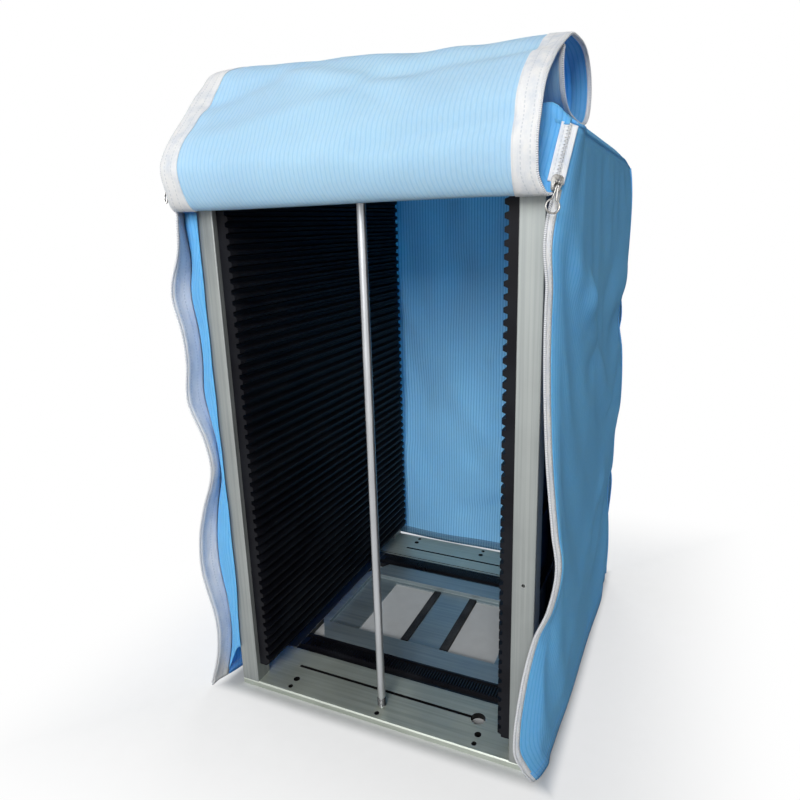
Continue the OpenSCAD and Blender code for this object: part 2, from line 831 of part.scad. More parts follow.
// Top panel: falls to the side seams, which draw in towards the zips at the front
module top_panel() {
    front = cover_front + roll_path[0][0] + fabric_t;
    reach = edge_tape_w + edge_fade;
    seam = function (edge, turn, side) [for (back = [0:reach / seam_steps:reach])
        [side * (cover_x + swing(edge, turn, back, 1)), depth(edge, turn, back, 1)]];
    left_seam = seam(left_edge, left_turn, -1);
    intersection() {
        along_y(front, cover_back) polygon([
            [-cover_x, seam_z - fabric_t],
            [-half_w, seat_z],
            [half_w, seat_z],
            [cover_x, seam_z - fabric_t],
            [cover_x, seam_z],
            [half_w, seat_z + fabric_t],
            [-half_w, seat_z + fabric_t],
            [-cover_x, seam_z]
        ]);
        linear_extrude(2 * rack_h) polygon(concat(
            seam(right_edge, right_turn, 1),
            rear_edge(corner_r),
            [for (k = [len(left_seam) - 1:-1:0]) left_seam[k]]
        ));
    }
}

// Rolled flap: a smooth path with the fabric's thickness
roll_rows = [for (k = [0:len(roll_path) - 1]) [k, roll_path[k][0], roll_path[k][1]]];
roll_last = (len(roll_path) - 1) * roll_steps;

function roll_point(k) =
    [cover_front + curve(roll_rows, k / roll_steps, 1), seat_z + fabric_t + curve(roll_rows, k / roll_steps, 2)];
function roll_side(k, offset) =
    let (
        ahead = roll_point(min(k + 1, roll_last)) - roll_point(max(k - 1, 0)),
        across = [-ahead[1], ahead[0]] / norm(ahead)
    )
    roll_point(k) + offset * across;

module roll_outline() {
    polygon(concat(
        [for (k = [0:roll_last]) roll_side(k, -fabric_t / 2)],
        [for (k = [roll_last:-1:0]) roll_side(k, fabric_t / 2)]
    ));
}

module flap_piece(x0, x1) {
    along_x(x0, x1) roll_outline();
}

// Zip, slider and pull, drawn on the right-hand edge from a height above the zip's foot

module on_zip(up) {
    translate([zip_x, zip_y, zip_z]) rotate([-zip_lean, 0, 0]) rotate([0, zip_splay, 0])
        rotate([0, 0, -zip_turn]) translate([0, 0, up]) children();
}

// Closed stretch, whose tape fills the room beside the flap
module zip_tape(up) {
    fill = sin(zip_splay) / sin(zip_turn);
    on_zip(up) {
        along_x(0, zip_tape_t) polygon([
            [-zip_w / 2 - fill * up, 0],
            [zip_w / 2, 0],
            [zip_w / 2, zip_l - up],
            [-zip_w / 2 - fill * zip_l, zip_l - up]
        ]);
        translate([0, -zip_coil_w / 2, 0]) cube([zip_t, zip_coil_w, zip_l - up]);
    }
}

module zip_slider(up) {
    ear_x = zip_t + move_gap + slider_t;
    on_zip(up) {
        translate([zip_t + move_gap, 0, 0]) rotate([0, 90, 0]) linear_extrude(slider_t) polygon([
            [-slider_l / 2, -slider_w / 2],
            [slider_l / 2, -slider_tail_w / 2],
            [slider_l / 2, slider_tail_w / 2],
            [-slider_l / 2, slider_w / 2]
        ]);
        for (y = [-1, 1]) {
            translate([ear_x, y * (pull_t / 2 + move_gap + ear_t / 2) - ear_t / 2, -ear_h / 2])
                cube([pull_eye_d / 2 + move_gap + pull_pin_d, ear_t, ear_h]);
        }
        translate([pin_x - zip_x, 0, 0]) rotate([90, 0, 0])
            cylinder(d = pull_pin_d, h = pull_t + 2 * move_gap + ear_t, center = true);
    }
}

// Flat pull with an eye on the slider's pin and a teardrop ring
module zip_pull(up) {
    neck = pull_l - pull_ring_d;
    on_zip(up) translate([pin_x - zip_x, pull_t / 2, 0]) rotate([90, 0, 0]) linear_extrude(pull_t) difference() {
        union() {
            circle(d = pull_eye_d);
            translate([-pull_t / 2, -neck]) square([pull_t, neck]);
        }
        circle(d = pull_pin_d + 2 * run_gap);
    }
    on_zip(up) translate([pin_x - zip_x - pull_t / 2, 0, -neck]) rotate([0, 90, 0]) linear_extrude(pull_t)
        difference() {
            union() {
                translate([pull_ring_d / 2, 0]) circle(d = pull_ring_d);
                translate([-pull_t, -pull_t]) square([pull_ring_d / 2, 2 * pull_t]);
            }
            translate([pull_ring_d / 2, 0]) circle(d = pull_ring_d - 2 * pull_t);
        }
}

// Nodes

module base_front_strip() { color(plate_steel) strip(); }
module base_rear_strip() { color(plate_steel) at_rear() strip(); }
module base_left_rail() { color(plate_steel) at_left() rail(); }
module base_right_rail() { color(plate_steel) rail(); }
module base_tray() { color(tray_steel) tray(); }
module base_edge_trims() { color(rubber) edge_trims(); }
module base_front_rack() { color(black_plastic) toothed_rack(); }
module base_rear_rack() { color(black_plastic) at_rear() toothed_rack(); }
module base_screws() { color(bright_steel) frame_screws(); }

module top_front_strip() { color(plate_steel) at_top() strip(); }
module top_rear_strip() { color(plate_steel) at_top() at_rear() strip(); }
module top_left_rail() { color(plate_steel) at_top() at_left() rail(); }
module top_right_rail() { color(plate_steel) at_top() rail(); }
module top_tray() { color(tray_steel) at_top() tray(); }
module top_edge_trims() { color(rubber) at_top() edge_trims(); }
module top_front_rack() { color(black_plastic) at_top() toothed_rack(); }
module top_rear_rack() { color(black_plastic) at_top() at_rear() toothed_rack(); }
module top_screws() { color(bright_steel) at_top() frame_screws(); }

module front_left_post() { color(aluminium) at_left() post(false); }
module front_right_post() { color(aluminium) post(true); }
module rear_left_post() { color(aluminium) at_left() at_rear() post(false); }
module rear_right_post() { color(aluminium) at_rear() post(true); }

module fixed_wall() {
    color(black_plastic) at_left() difference() {
        union() {
            wall_panel(post_in);
            wall_screw_bosses();
        }
        wall_screw_holes();
    }
}
module fixed_wall_ribs() { color(black_plastic) at_left() wall_ribs(post_in); }
module fixed_wall_screws() { color(bright_steel) at_left() wall_screws(); }

module movable_wall() { color(black_plastic) wall_panel(wall_back); }
module movable_wall_ribs() { color(black_plastic) wall_ribs(wall_back); }
module wall_lock_screws() {
    color(bright_steel) {
        lock_screw();
        at_top() lock_screw();
    }
}

module lower_front_bearing() { color(black_plastic) bearing_block(); }
module lower_rear_bearing() { color(black_plastic) at_rear() bearing_block(); }
module upper_front_bearing() { color(black_plastic) at_top() bearing_block(); }
module upper_rear_bearing() { color(black_plastic) at_top() at_rear() bearing_block(); }

module lower_shaft() { color(bright_steel) drive_shaft(); }
module lower_front_pinion() { color(black_plastic) pinion(); }
module lower_rear_pinion() { color(black_plastic) at_rear() pinion(); }
module upper_shaft() { color(bright_steel) at_top() drive_shaft(); }
module upper_front_pinion() { color(black_plastic) at_top() pinion(); }
module upper_rear_pinion() { color(black_plastic) at_top() at_rear() pinion(); }

module stop_rod() { color(bright_steel) rod_body(); }
module rod_spring() { color(bright_steel) spring_coil(); }

module cover_top_panel() { color(blue_fabric) top_panel(); }
module cover_back_panel() { color(blue_fabric) back_panel(); }
module cover_left_panel() { color(blue_fabric) at_left() side_panel(left_edge, left_turn); }
module cover_right_panel() { color(blue_fabric) side_panel(right_edge, right_turn); }
module cover_flap() { color(blue_fabric) flap_piece(flap_tape_w - flap_x, flap_x - flap_tape_w); }
module flap_left_tape() { color(white_tape) flap_piece(-flap_x, flap_tape_w - flap_x); }
module flap_right_tape() { color(white_tape) flap_piece(flap_x - flap_tape_w, flap_x); }
module left_edge_tape() { color(white_tape) at_left() edge_tape(left_edge, left_turn); }
module right_edge_tape() { color(white_tape) edge_tape(right_edge, right_turn); }
module left_zip() { color(zip_grey) at_left() zip_tape(left_zip_up); }
module right_zip() { color(zip_grey) zip_tape(0); }
module left_zip_slider() { color(bright_steel) at_left() zip_slider(left_zip_up); }
module right_zip_slider() { color(bright_steel) zip_slider(0); }
module left_zip_pull() { color(bright_steel) at_left() zip_pull(left_zip_up); }
module right_zip_pull() { color(bright_steel) zip_pull(0); }

base_front_strip();
base_rear_strip();
base_left_rail();
base_right_rail();
base_tray();
base_edge_trims();
base_front_rack();
base_rear_rack();
base_screws();
top_front_strip();
top_rear_strip();
top_left_rail();
top_right_rail();
top_tray();
top_edge_trims();
top_front_rack();
top_rear_rack();
top_screws();
front_left_post();
front_right_post();
rear_left_post();
rear_right_post();
fixed_wall();
fixed_wall_ribs();
fixed_wall_screws();
movable_wall();
movable_wall_ribs();
wall_lock_screws();
lower_front_bearing();
lower_rear_bearing();
upper_front_bearing();
upper_rear_bearing();
lower_shaft();
lower_front_pinion();
lower_rear_pinion();
upper_shaft();
upper_front_pinion();
upper_rear_pinion();
stop_rod();
rod_spring();
cover_top_panel();
cover_back_panel();
cover_left_panel();
cover_right_panel();
cover_flap();
flap_left_tape();
flap_right_tape();
left_edge_tape();
right_edge_tape();
left_zip();
right_zip();
left_zip_slider();
right_zip_slider();
left_zip_pull();
right_zip_pull();
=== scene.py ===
import math

import bmesh
import bpy
from mathutils import Matrix, Vector, noise


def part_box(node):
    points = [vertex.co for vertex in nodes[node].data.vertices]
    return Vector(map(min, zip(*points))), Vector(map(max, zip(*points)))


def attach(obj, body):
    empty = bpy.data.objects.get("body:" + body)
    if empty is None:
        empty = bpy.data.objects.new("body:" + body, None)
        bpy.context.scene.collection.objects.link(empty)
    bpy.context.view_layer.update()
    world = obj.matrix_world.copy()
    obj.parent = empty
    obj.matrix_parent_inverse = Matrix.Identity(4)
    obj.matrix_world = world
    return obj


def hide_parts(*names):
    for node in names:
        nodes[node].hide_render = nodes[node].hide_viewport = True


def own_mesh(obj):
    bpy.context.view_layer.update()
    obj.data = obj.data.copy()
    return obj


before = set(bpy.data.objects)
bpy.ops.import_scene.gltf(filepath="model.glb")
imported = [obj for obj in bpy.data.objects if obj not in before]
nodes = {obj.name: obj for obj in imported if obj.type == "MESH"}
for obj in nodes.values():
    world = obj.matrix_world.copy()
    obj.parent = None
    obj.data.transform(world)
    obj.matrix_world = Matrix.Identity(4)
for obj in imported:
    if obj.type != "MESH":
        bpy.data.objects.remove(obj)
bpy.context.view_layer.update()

MM = 0.001

# Sizes of the rack and its cover, read from the CAD nodes or repeated from the part's source
HALF_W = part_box("base_right_rail")[1].x
HALF_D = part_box("base_rear_strip")[1].y
BORE_MARGIN = 0.5 * MM
STRIP_BORES = (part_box("base_rear_strip")[0].y + BORE_MARGIN, HALF_D - BORE_MARGIN)
COVER_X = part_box("cover_back_panel")[1].x
COVER_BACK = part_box("cover_back_panel")[1].y
HEM_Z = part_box("cover_back_panel")[0].z
BACK_HEM_UP = 5 * MM
BACK_HEM_Z = HEM_Z + BACK_HEM_UP
SEAT_GAP = 0.3 * MM
SEAT_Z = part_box("top_tray")[1].z + SEAT_GAP
FLAP_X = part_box("flap_right_tape")[1].x
FRONT_EASE = 9 * MM
COVER_FRONT = -HALF_D - FRONT_EASE
FABRIC_T = 1.5 * MM
SIDE_EASE = COVER_X - HALF_W
SEAM_DROP = 12 * MM
SEAM_Z = SEAT_Z - SEAM_DROP
CORNER_R = 14 * MM
EDGE_TAPE_W, EDGE_TAPE_SEEN = 9 * MM, 6 * MM
EDGE_FADE = 52 * MM
ZIP_CLOSED_L = 39 * MM
ZIP_W = 12 * MM
ZIP_SEAM_GAP = 2 * MM
LEFT_ZIP_UP = 14 * MM
ZIP_SWING, ZIP_TOP_SWING = -11, -4
ZIP_EDGE_Y, ZIP_EDGE_TOP = -2, 10
ZIP_TOP_Z = SEAT_Z - FABRIC_T - SEAM_DROP * (SIDE_EASE + ZIP_TOP_SWING * MM) / SIDE_EASE
ZIP_Z = ZIP_TOP_Z - ZIP_CLOSED_L - ZIP_SEAM_GAP
ZIP_SHARE = (ZIP_Z - ZIP_SEAM_GAP - HEM_Z) / (ZIP_TOP_Z - HEM_Z)
ZIP_LEAD = 0.03
ZIP_ROWS = [
    (ZIP_SHARE - ZIP_LEAD, ZIP_SWING, ZIP_EDGE_Y), (ZIP_SHARE, ZIP_SWING, ZIP_EDGE_Y),
    (1, ZIP_TOP_SWING, ZIP_EDGE_TOP),
]

# Cut sizes of the panels, in metres
SIDE_CUT = (0.366, 0.558)
BACK_CUT = (0.372, 0.555)

# Cloth, tapes, hems, lining and seams as they are seen
CLOTH_T = 0.8 * MM
TAPE_T = 1.9 * MM
TAPE_LAP = 2 * MM
TAPE_LAYER_T = 0.6 * MM
FLAP_TAPE_W = 17 * MM
FLAP_EDGE_W = 2.2 * MM
FLAP_TUCK = 3.5 * MM
FLAP_FIRST_LAYER = 66 * MM
HEM_W = 12 * MM
HEM_TURN = 11.5 * MM
HEM_SAG = 0.6 * MM
INNER_TAPE_W = 20 * MM
FACING_T, FACING_INSET, FACING_TOP = 0.35 * MM, 1.85 * MM, ZIP_SHARE - 0.02
LINING_SEAM, LINING_INSET = 19 * MM, 2.6 * MM
LINING_OVER, LINING_FOOT_OVER = 4.8 * MM, 2.4 * MM
LINING_OUT, LINING_BULGE = 2.2 * MM, 3 * MM
LINING_FOOT, LINING_SLANT = 0.012, 0.07
STRIPE = 4 * MM
ZIP_REACH, ZIP_BEHIND, ZIP_ASIDE = 46 * MM, 0.3 * MM, 0.9 * MM
ZIP_BEND = (ZIP_SHARE - 0.13, 0.11)
EDGE_COIL_R, EDGE_COIL_OUT, FLAP_COIL_R, FLAP_COIL_OUT = 1.1 * MM, 0.4 * MM, 1.0 * MM, 0.6 * MM
TOP_SEAM_R, TOP_SEAM_UP = 1.5 * MM, 0.6 * MM
BACK_SEAM_R, BACK_SEAM_UP = 1.3 * MM, 0.2 * MM
REAR_SEAM_R = 1.2 * MM

# Open front edges, from hem to top seam: share of the height, swing outwards and backwards in mm
RIGHT_EDGE = [
    (0, -12, 0), (0.05, -18, -16), (0.1, -23, -25), (0.2, -20, -18), (0.27, -14, -4),
    (0.32, -4, -1), (0.39, 2, -1), (0.45, -2, -2), (0.58, -9, -3), (0.74, -12, -6),
] + ZIP_ROWS
LEFT_EDGE = [
    (0, 11, -9), (0.07, 4, -2), (0.14, 3, 0), (0.24, 14, 0), (0.31, 12, 0), (0.37, 3, 0),
    (0.45, -13, 0), (0.51, -9, 0), (0.58, 6, 0), (0.65, 2, 0), (0.7, 3, 0), (0.77, 10, 0), (0.845, -4, 0),
] + ZIP_ROWS
RIGHT_TURN = math.radians(30)
LEFT_TURN = 0.0
SIDES = (("right", RIGHT_EDGE, RIGHT_TURN, 1), ("left", LEFT_EDGE, LEFT_TURN, -1))

# Rolled flap seen from the side: distance behind the zipped edges and height above the seat, in mm,
# at its left-hand end and at its right-hand end
ROLL_LEFT = [
    (8, 0.5), (3, -14), (0, -36), (0, -57), (-6, -66), (-15, -61), (-22, -45), (-22, -29),
    (-9, -10), (6, 7), (20, 23), (33, 38), (49, 54), (78, 62), (114, 63), (145, 56),
    (165, 41), (168, 22), (156, 8), (132, 2.4), (100, 2.6), (76, 5), (58, 16), (49, 32), (52, 46),
]
ROLL_RIGHT = [
    (8, 0.5), (3, -14), (0, -36), (-2, -53), (-7, -60), (-14, -55), (-20, -42), (-22, -24),
    (-16, -4), (-3, 13), (15, 27), (33, 39), (60, 52), (88, 61), (124, 64), (154, 58),
    (171, 43), (173, 23), (160, 8), (132, 2.4), (100, 2.6), (76, 5), (58, 16), (49, 32), (52, 46),
]

# Zip: its run beside the open edge, its foot and its turn to the front, as in the part's source
ZIP_PROUD = 0.6
ZIP_TURN = math.radians(-60)
ZIP_RUN = MM * Vector((
    ZIP_TOP_SWING - ZIP_SWING,
    ZIP_EDGE_TOP - ZIP_EDGE_Y,
    (ZIP_CLOSED_L + 2 * ZIP_SEAM_GAP) / MM,
))
ZIP_FOOT = Vector((
    COVER_X + (ZIP_SWING + ZIP_PROUD) * MM + ZIP_RUN.x * ZIP_SEAM_GAP / ZIP_RUN.z,
    COVER_FRONT + (ZIP_EDGE_Y - ZIP_PROUD) * MM + ZIP_RUN.y * ZIP_SEAM_GAP / ZIP_RUN.z,
    ZIP_Z,
))
ON_ZIP = (
    Matrix.Translation(ZIP_FOOT)
    @ Matrix.Rotation(-math.atan(ZIP_RUN.y / ZIP_RUN.z), 4, "X")
    @ Matrix.Rotation(math.atan(ZIP_RUN.x / math.hypot(ZIP_RUN.y, ZIP_RUN.z)), 4, "Y")
    @ Matrix.Rotation(ZIP_TURN, 4, "Z")
)
ZIP_L = 41.5 * MM

# Zip teeth and tape, slider pin and wire pull
TOOTH, TOOTH_PITCH, TOOTH_OUT, TOOTH_SHIFT = (0.55 * MM, 1.35 * MM, 0.5 * MM), 1.25 * MM, 1.3 * MM, 0.35 * MM
ZIP_RIDGE, ZIP_RIDGE_W, ZIP_TAPE_OUT, ZIP_TAPE_T = 0.9 * MM, 1.3 * MM, 0.5 * MM, 0.8 * MM
PIN_OUT, PIN_R = 7.6 * MM, 0.8 * MM
EYE_R, EYE_WIRE = 1.5 * MM, 0.65 * MM
RING_R, RING_DOWN, RING_OPENING, RING_WIRE = 4.75, 16.5, 0.88 * math.pi, 0.75 * MM
NECK, NECK_TOP, NECK_FOOT = 0.75, -2.2, -6.5

# Folds of the side panels: ends (back from the middle, up from the floor), width and height, in mm
SIDE_FOLDS = [
    ((-185, 474), (-100, 424), 16, 5), ((-100, 424), (80, 290), 20, 6), ((-120, 560), (30, 512), 16, 4),
    ((60, 372), (170, 368), 22, -4), ((40, 150), (170, 132), 26, -4), ((-120, 60), (60, 190), 24, 5),
    ((40, 470), (150, 420), 26, 4), ((-150, 300), (-60, 180), 30, -4), ((-40, 360), (60, 420), 24, -4),
]

# Folds of the back panel: ends (right of the middle, up from the floor), width and height, in mm
BACK_FOLDS = [
    ((-20, 150), (120, 290), 16, 5), ((10, 300), (140, 400), 18, -5), ((60, 90), (-40, 240), 20, -4),
    ((20, 420), (110, 520), 18, 4), ((-30, 60), (130, 120), 14, 4), ((-120, 180), (-40, 420), 24, 4),
]

# Folds of the rolled flap: ends (right of the middle, along the cloth), width and height, in mm
FLAP_FOLDS = [
    ((30, 112), (150, 126), 11, -4), ((20, 186), (140, 206), 12, -4), ((-130, 128), (0, 158), 13, 3.5),
    ((-70, 206), (40, 172), 11, 3.2), ((-140, 176), (-60, 216), 12, -3.4),
]

# Sway of the cover's rear corners: height and distance outwards, in mm, and then the start and the run
# over which it grows, backwards on the sides and outwards on the back
SWAY = [
    (0, 0), (59, 2), (141, -2.5), (177, 1.5), (219, 2), (260, 6.5), (326, 4.5), (370, -2),
    (414, 3), (462, 5), (508, 5), (535, 3), (552, 0),
]
SWAY_Y = (40 * MM, 120 * MM)
BACK_SWAY_X = (90 * MM, 70 * MM)

# Sag of the rear top corners, and the start and the run over which it grows, outwards and backwards
DROOP = 5 * MM
DROOP_X, DROOP_Y = (150 * MM, 26 * MM), (110 * MM, 70 * MM)

# Fall of the top panel outside the rack
FALL_START, FALL_POWER = 3 * MM, 1.15

# Unevenness of the cloth: pitch, height and seed, which is the side's sign on the side panels
SIDE_RIPPLE = (55 * MM, 1.4 * MM)
BACK_RIPPLE = (60 * MM, 2 * MM, 7)
TOP_RIPPLE = (55 * MM, 3.2 * MM, 3)
LINING_EDGE_RIPPLE = (40 * MM, 1.5 * MM, 17)
LINING_RIPPLE = (30 * MM, 1.5 * MM, 21)
FLAP_SWELL = (85 * MM, 2.2 * MM, 11)
FLAP_RIPPLE = (30 * MM, 0.6 * MM, 5)
FLAP_CREASE, CREASE_LEAN = (42 * MM, 1.6 * MM, 29), 0.45
BACK_WAVE, BACK_WAVE_RUN = 2 * MM, 26 * MM
FREE_RUN, FREE_TOP = 30 * MM, 0.08

# Simulated slack of the panels, as a share of the cut, and how far a point may move
SIDE_SLACK, SIDE_MOVE = 0.0015, 6 * MM
BACK_SLACK, BACK_MOVE = 0.004, 5 * MM


# Curves

def blend(u, a, a_slope, b, b_slope):
    """Smooth run from a to b with a slope at each end, for u from 0 to 1."""
    return (
        (2 * u**3 - 3 * u**2 + 1) * a
        + (u**3 - 2 * u**2 + u) * a_slope
        + (3 * u**2 - 2 * u**3) * b
        + (u**3 - u**2) * b_slope
    )


def slope(rows, i, column):
    a, b = max(i - 1, 0), min(i + 1, len(rows) - 1)
    return (rows[b][column] - rows[a][column]) / (rows[b][0] - rows[a][0])


def curve(rows, t, column):
    """Smooth curve through rows whose first value is the place along the curve."""
    i = max([0] + [k for k in range(len(rows) - 1) if rows[k][0] <= t])
    w = rows[i + 1][0] - rows[i][0]
    u = (t - rows[i][0]) / w
    a, b = ((rows[k][column], w * slope(rows, k, column)) for k in (i, i + 1))
    return blend(u, *a, *b)


def ease(u):
    v = max(0.0, min(1.0, u))
    return v * v * (3 - 2 * v)


def ramp(value, start, run):
    """0 up to start, 1 from the end of the run."""
    return ease((value - start) / run)


def spread(low, high, count):
    return [low + (high - low) * k / (count - 1) for k in range(count)]


# Meshes

def new_object(name, data):
    made = bpy.data.objects.new(name, data)
    bpy.context.scene.collection.objects.link(made)
    return made


def new_piece(name, mesh, material):
    piece = new_object(name, mesh)
    mesh.materials.append(material)
    mesh.shade_smooth()
    return piece


def grid_piece(name, rows, uvs, material):
    """Sheet through a grid of points, with the cloth's own measure in metres as UVs."""
    count = len(rows[0])
    points = [p for row in rows for p in row]
    flat = [uv for row in uvs for uv in row]
    faces = [
        (i * count + j, i * count + j + 1, (i + 1) * count + j + 1, (i + 1) * count + j)
        for i in range(len(rows) - 1)
        for j in range(count - 1)
    ]
    mesh = bpy.data.meshes.new(name)
    mesh.from_pydata(points, [], faces)
    layer = mesh.uv_layers.new(name="cloth")
    for loop in mesh.loops:
        layer.data[loop.index].uv = flat[loop.vertex_index]
    return new_piece(name, mesh, material)


def thicken(piece, thickness, hem=(), reverse=None):
    """Gives a sheet its thickness, twice that on the hem's vertices, and another look on its reverse."""
    group = piece.vertex_groups.new(name="thickness")
    group.add([v.index for v in piece.data.vertices], 0.5, "REPLACE")
    if hem:
        group.add(list(hem), 1.0, "REPLACE")
    solid = piece.modifiers.new("Thickness", "SOLIDIFY")
    solid.thickness = 2 * thickness
    solid.offset = 0
    solid.vertex_group = group.name
    if reverse:
        piece.data.materials.append(reverse)
        solid.material_offset = 1


def finished_mesh(name, bm):
    mesh = bpy.data.meshes.new(name)
    bm.to_mesh(mesh)
    bm.free()
    return mesh


def tube_piece(name, path, radius, material, sides=8, closed=False):
    """Round rod along a path, with its own measure in metres as UVs."""
    count = len(path)
    bm = bmesh.new()
    layer = bm.loops.layers.uv.new("cloth")
    ahead = []
    for k in range(count):
        a = path[(k - 1) % count] if closed else path[max(k - 1, 0)]
        b = path[(k + 1) % count] if closed else path[min(k + 1, count - 1)]
        ahead.append((b - a).normalized())
    side = ahead[0].orthogonal().normalized()
    rings, lengths, run = [], [], 0.0
    for k in range(count):
        side = (side - ahead[k] * side.dot(ahead[k])).normalized()
        over = ahead[k].cross(side)
        run += (path[k] - path[k - 1]).length if k else 0.0
        lengths.append(run)
        rings.append([
            bm.verts.new(
                path[k]
                + radius * math.cos(2 * math.pi * j / sides) * side
                + radius * math.sin(2 * math.pi * j / sides) * over
            )
            for j in range(sides)
        ])
    for k in range(count if closed else count - 1):
        after = (k + 1) % count
        for j in range(sides):
            face = bm.faces.new((
                rings[k][j], rings[k][(j + 1) % sides], rings[after][(j + 1) % sides], rings[after][j]
            ))
            marks = ((j, k), (j + 1, k), (j + 1, k + 1), (j, k + 1))
            for loop, (around, along) in zip(face.loops, marks):
                v = lengths[along] if along < count else run
                loop[layer].uv = (2 * math.pi * radius * around / sides, v)
    if not closed:
        bm.faces.new(rings[0][::-1])
        bm.faces.new(rings[-1])
    bm.normal_update()
    return new_piece(name, finished_mesh(name, bm), material)


# Materials

class Nodes:
    """The nodes of a material or a world, added one call at a time."""

    def __init__(self, owner):
        owner.use_nodes = True
        self.tree = owner.node_tree

    def put(self, value, socket):
        if isinstance(value, bpy.types.NodeSocket):
            self.tree.links.new(value, socket)
        else:
            socket.default_value = value

    def node(self, kind, inputs, **settings):
        node = self.tree.nodes.new("ShaderNode" + kind)
        for key, value in settings.items():
            setattr(node, key, value)
        for key, value in inputs.items():
            self.put(value, node.inputs[key])
        return node

    def math(self, operation, a, b=0.0):
        return self.node("Math", {0: a, 1: b}, operation=operation).outputs[0]

    def times(self, a, b):
        return self.math("MULTIPLY", a, b)

    def seen(self):
        """1 for what the camera sees, also in reflections and through glass."""
        path = self.node("LightPath", {}).outputs
        either = self.math("MAXIMUM", path["Is Camera Ray"], path["Is Glossy Ray"])
        return self.math("MAXIMUM", either, path["Is Transmission Ray"])


class Look(Nodes):
    """A material on the principled shader."""

    def __init__(self, name, **sockets):
        self.material = bpy.data.materials.new(name)
        super().__init__(self.material)
        self.shader = self.tree.nodes["Principled BSDF"]
        for socket, value in sockets.items():
            self.shader.inputs[socket.replace("_", " ")].default_value = value

    def place(self, scale=(1, 1, 1)):
        coords = self.node("TexCoord", {}).outputs["Object"]
        return self.node("Mapping", {"Vector": coords, "Scale": scale}).outputs[0]

    def cloth_place(self):
        return self.node("UVMap", {}, uv_map="cloth").outputs[0]

    def cloth(self):
        """Across and along the cloth, in metres."""
        parts = self.node("SeparateXYZ", {0: self.cloth_place()})
        return parts.outputs[0], parts.outputs[1]

    def noise(self, vector, detail=3.0, roughness=0.55):
        inputs = {"Vector": vector, "Scale": 1.0, "Detail": detail, "Roughness": roughness}
        return self.node("TexNoise", inputs).outputs[0]

    def between(self, value, low, high, to_low=0.0, to_high=1.0):
        inputs = {"Value": value, 1: low, 2: high, 3: to_low, 4: to_high}
        return self.node("MapRange", inputs, interpolation_type="SMOOTHSTEP").outputs[0]

    def wave(self, value, length):
        """1 on the crests and -1 in the troughs of a wave of that length."""
        return self.math("COSINE", self.times(value, 2 * math.pi / length))

    def edges(self, radius):
        """1 on the edges of a piece and round its holes."""
        normal = self.node("NewGeometry", {}).outputs["True Normal"]
        rounded = self.node("Bevel", {"Radius": radius}, samples=4).outputs[0]
        same = self.node("VectorMath", {0: rounded, 1: normal}, operation="DOT_PRODUCT").outputs["Value"]
        return self.between(self.math("SUBTRACT", 1.0, same), 0.01, 0.12)

    def inside_plate(self, low, high):
        """1 on the walls of holes and slots between two distances from the rack's middle, front or rear."""
        place = self.node("SeparateXYZ", {0: self.place()})
        normal = self.node("NewGeometry", {}).outputs["True Normal"]
        lie = self.math("ABSOLUTE", self.node("SeparateXYZ", {0: normal}).outputs[2])
        far = self.math("ABSOLUTE", place.outputs[1])
        inside = self.times(self.math("GREATER_THAN", far, low), self.math("LESS_THAN", far, high))
        wide = self.math("LESS_THAN", self.math("ABSOLUTE", place.outputs[0]), HALF_W - BORE_MARGIN)
        return self.times(self.times(inside, wide), self.math("LESS_THAN", lie, 0.5))

    def mix(self, share, a, b, blend_type="MIX"):
        return self.node("Mix", {0: share, 6: a, 7: b}, data_type="RGBA", blend_type=blend_type).outputs[2]

    def shade(self, colour, amount):
        """The colour made lighter or darker all over by amount, which varies about 1."""
        grey = self.node("CombineColor", {0: amount, 1: amount, 2: amount}).outputs[0]
        return self.mix(1.0, colour, grey, "MULTIPLY")

    def bump(self, height, distance, strength=1.0):
        inputs = {"Height": height, "Distance": distance, "Strength": strength}
        self.put(self.node("Bump", inputs).outputs[0], self.shader.inputs["Normal"])

    def set(self, **sockets):
        for socket, value in sockets.items():
            self.put(value, self.shader.inputs[socket.replace("_", " ")])
        return self.material


def brushed_metal(name, dark, light, rough, brush, bump=0.04 * MM, metallic=1.0, edge=0.0, painted_bore_shade=None):
    """Metal with brush lines along one axis, smudges that change its gloss, edges lightened towards white
    that are partly wear and partly a painted highlight, and bore walls painted near-black as painted shade.
    """
    look = Look(name, Metallic=metallic)
    lines = look.noise(look.place(brush), 4.0, 0.65)
    smudge = look.noise(look.place((14, 14, 9)), 4.0, 0.6)
    tone = look.mix(look.between(lines, 0.3, 0.7), (*dark, 1), (*light, 1))
    gloss = look.math("ADD", look.between(lines, 0.25, 0.75, rough[0], rough[1]),
                      look.between(smudge, 0.4, 0.75, -0.05, 0.07))
    tone = look.shade(tone, look.between(smudge, 0.3, 0.7, 0.92, 1.05))
    if edge:
        # Edges lightened towards near-white: partly wear, partly a painted highlight for the light that
        # rounded edges catch.
        tone = look.mix(look.times(look.edges(edge), 0.75), tone, (0.86, 0.88, 0.87, 1))
    if painted_bore_shade:
        # Walls of the holes and slots painted near-black: painted shade for the shade inside the bores.
        tone = look.mix(look.inside_plate(*painted_bore_shade), tone, (0.01, 0.01, 0.01, 1))
    look.bump(lines, bump, 0.6)
    return look.set(Base_Color=tone, Roughness=gloss)


def moulded_plastic(name, gloss, rough):
    look = Look(name, Specular_IOR_Level=gloss)
    grain = look.noise(look.place((900, 900, 900)), 2.0, 0.5)
    dust = look.noise(look.place((16, 16, 22)), 5.0, 0.6)
    tone = look.mix(look.between(dust, 0.35, 0.75), (0.004, 0.004, 0.006, 1), (0.009, 0.010, 0.013, 1))
    look.bump(grain, 0.06 * MM, 0.5)
    return look.set(Base_Color=tone, Roughness=look.between(dust, 0.3, 0.75, rough[0], rough[1]))


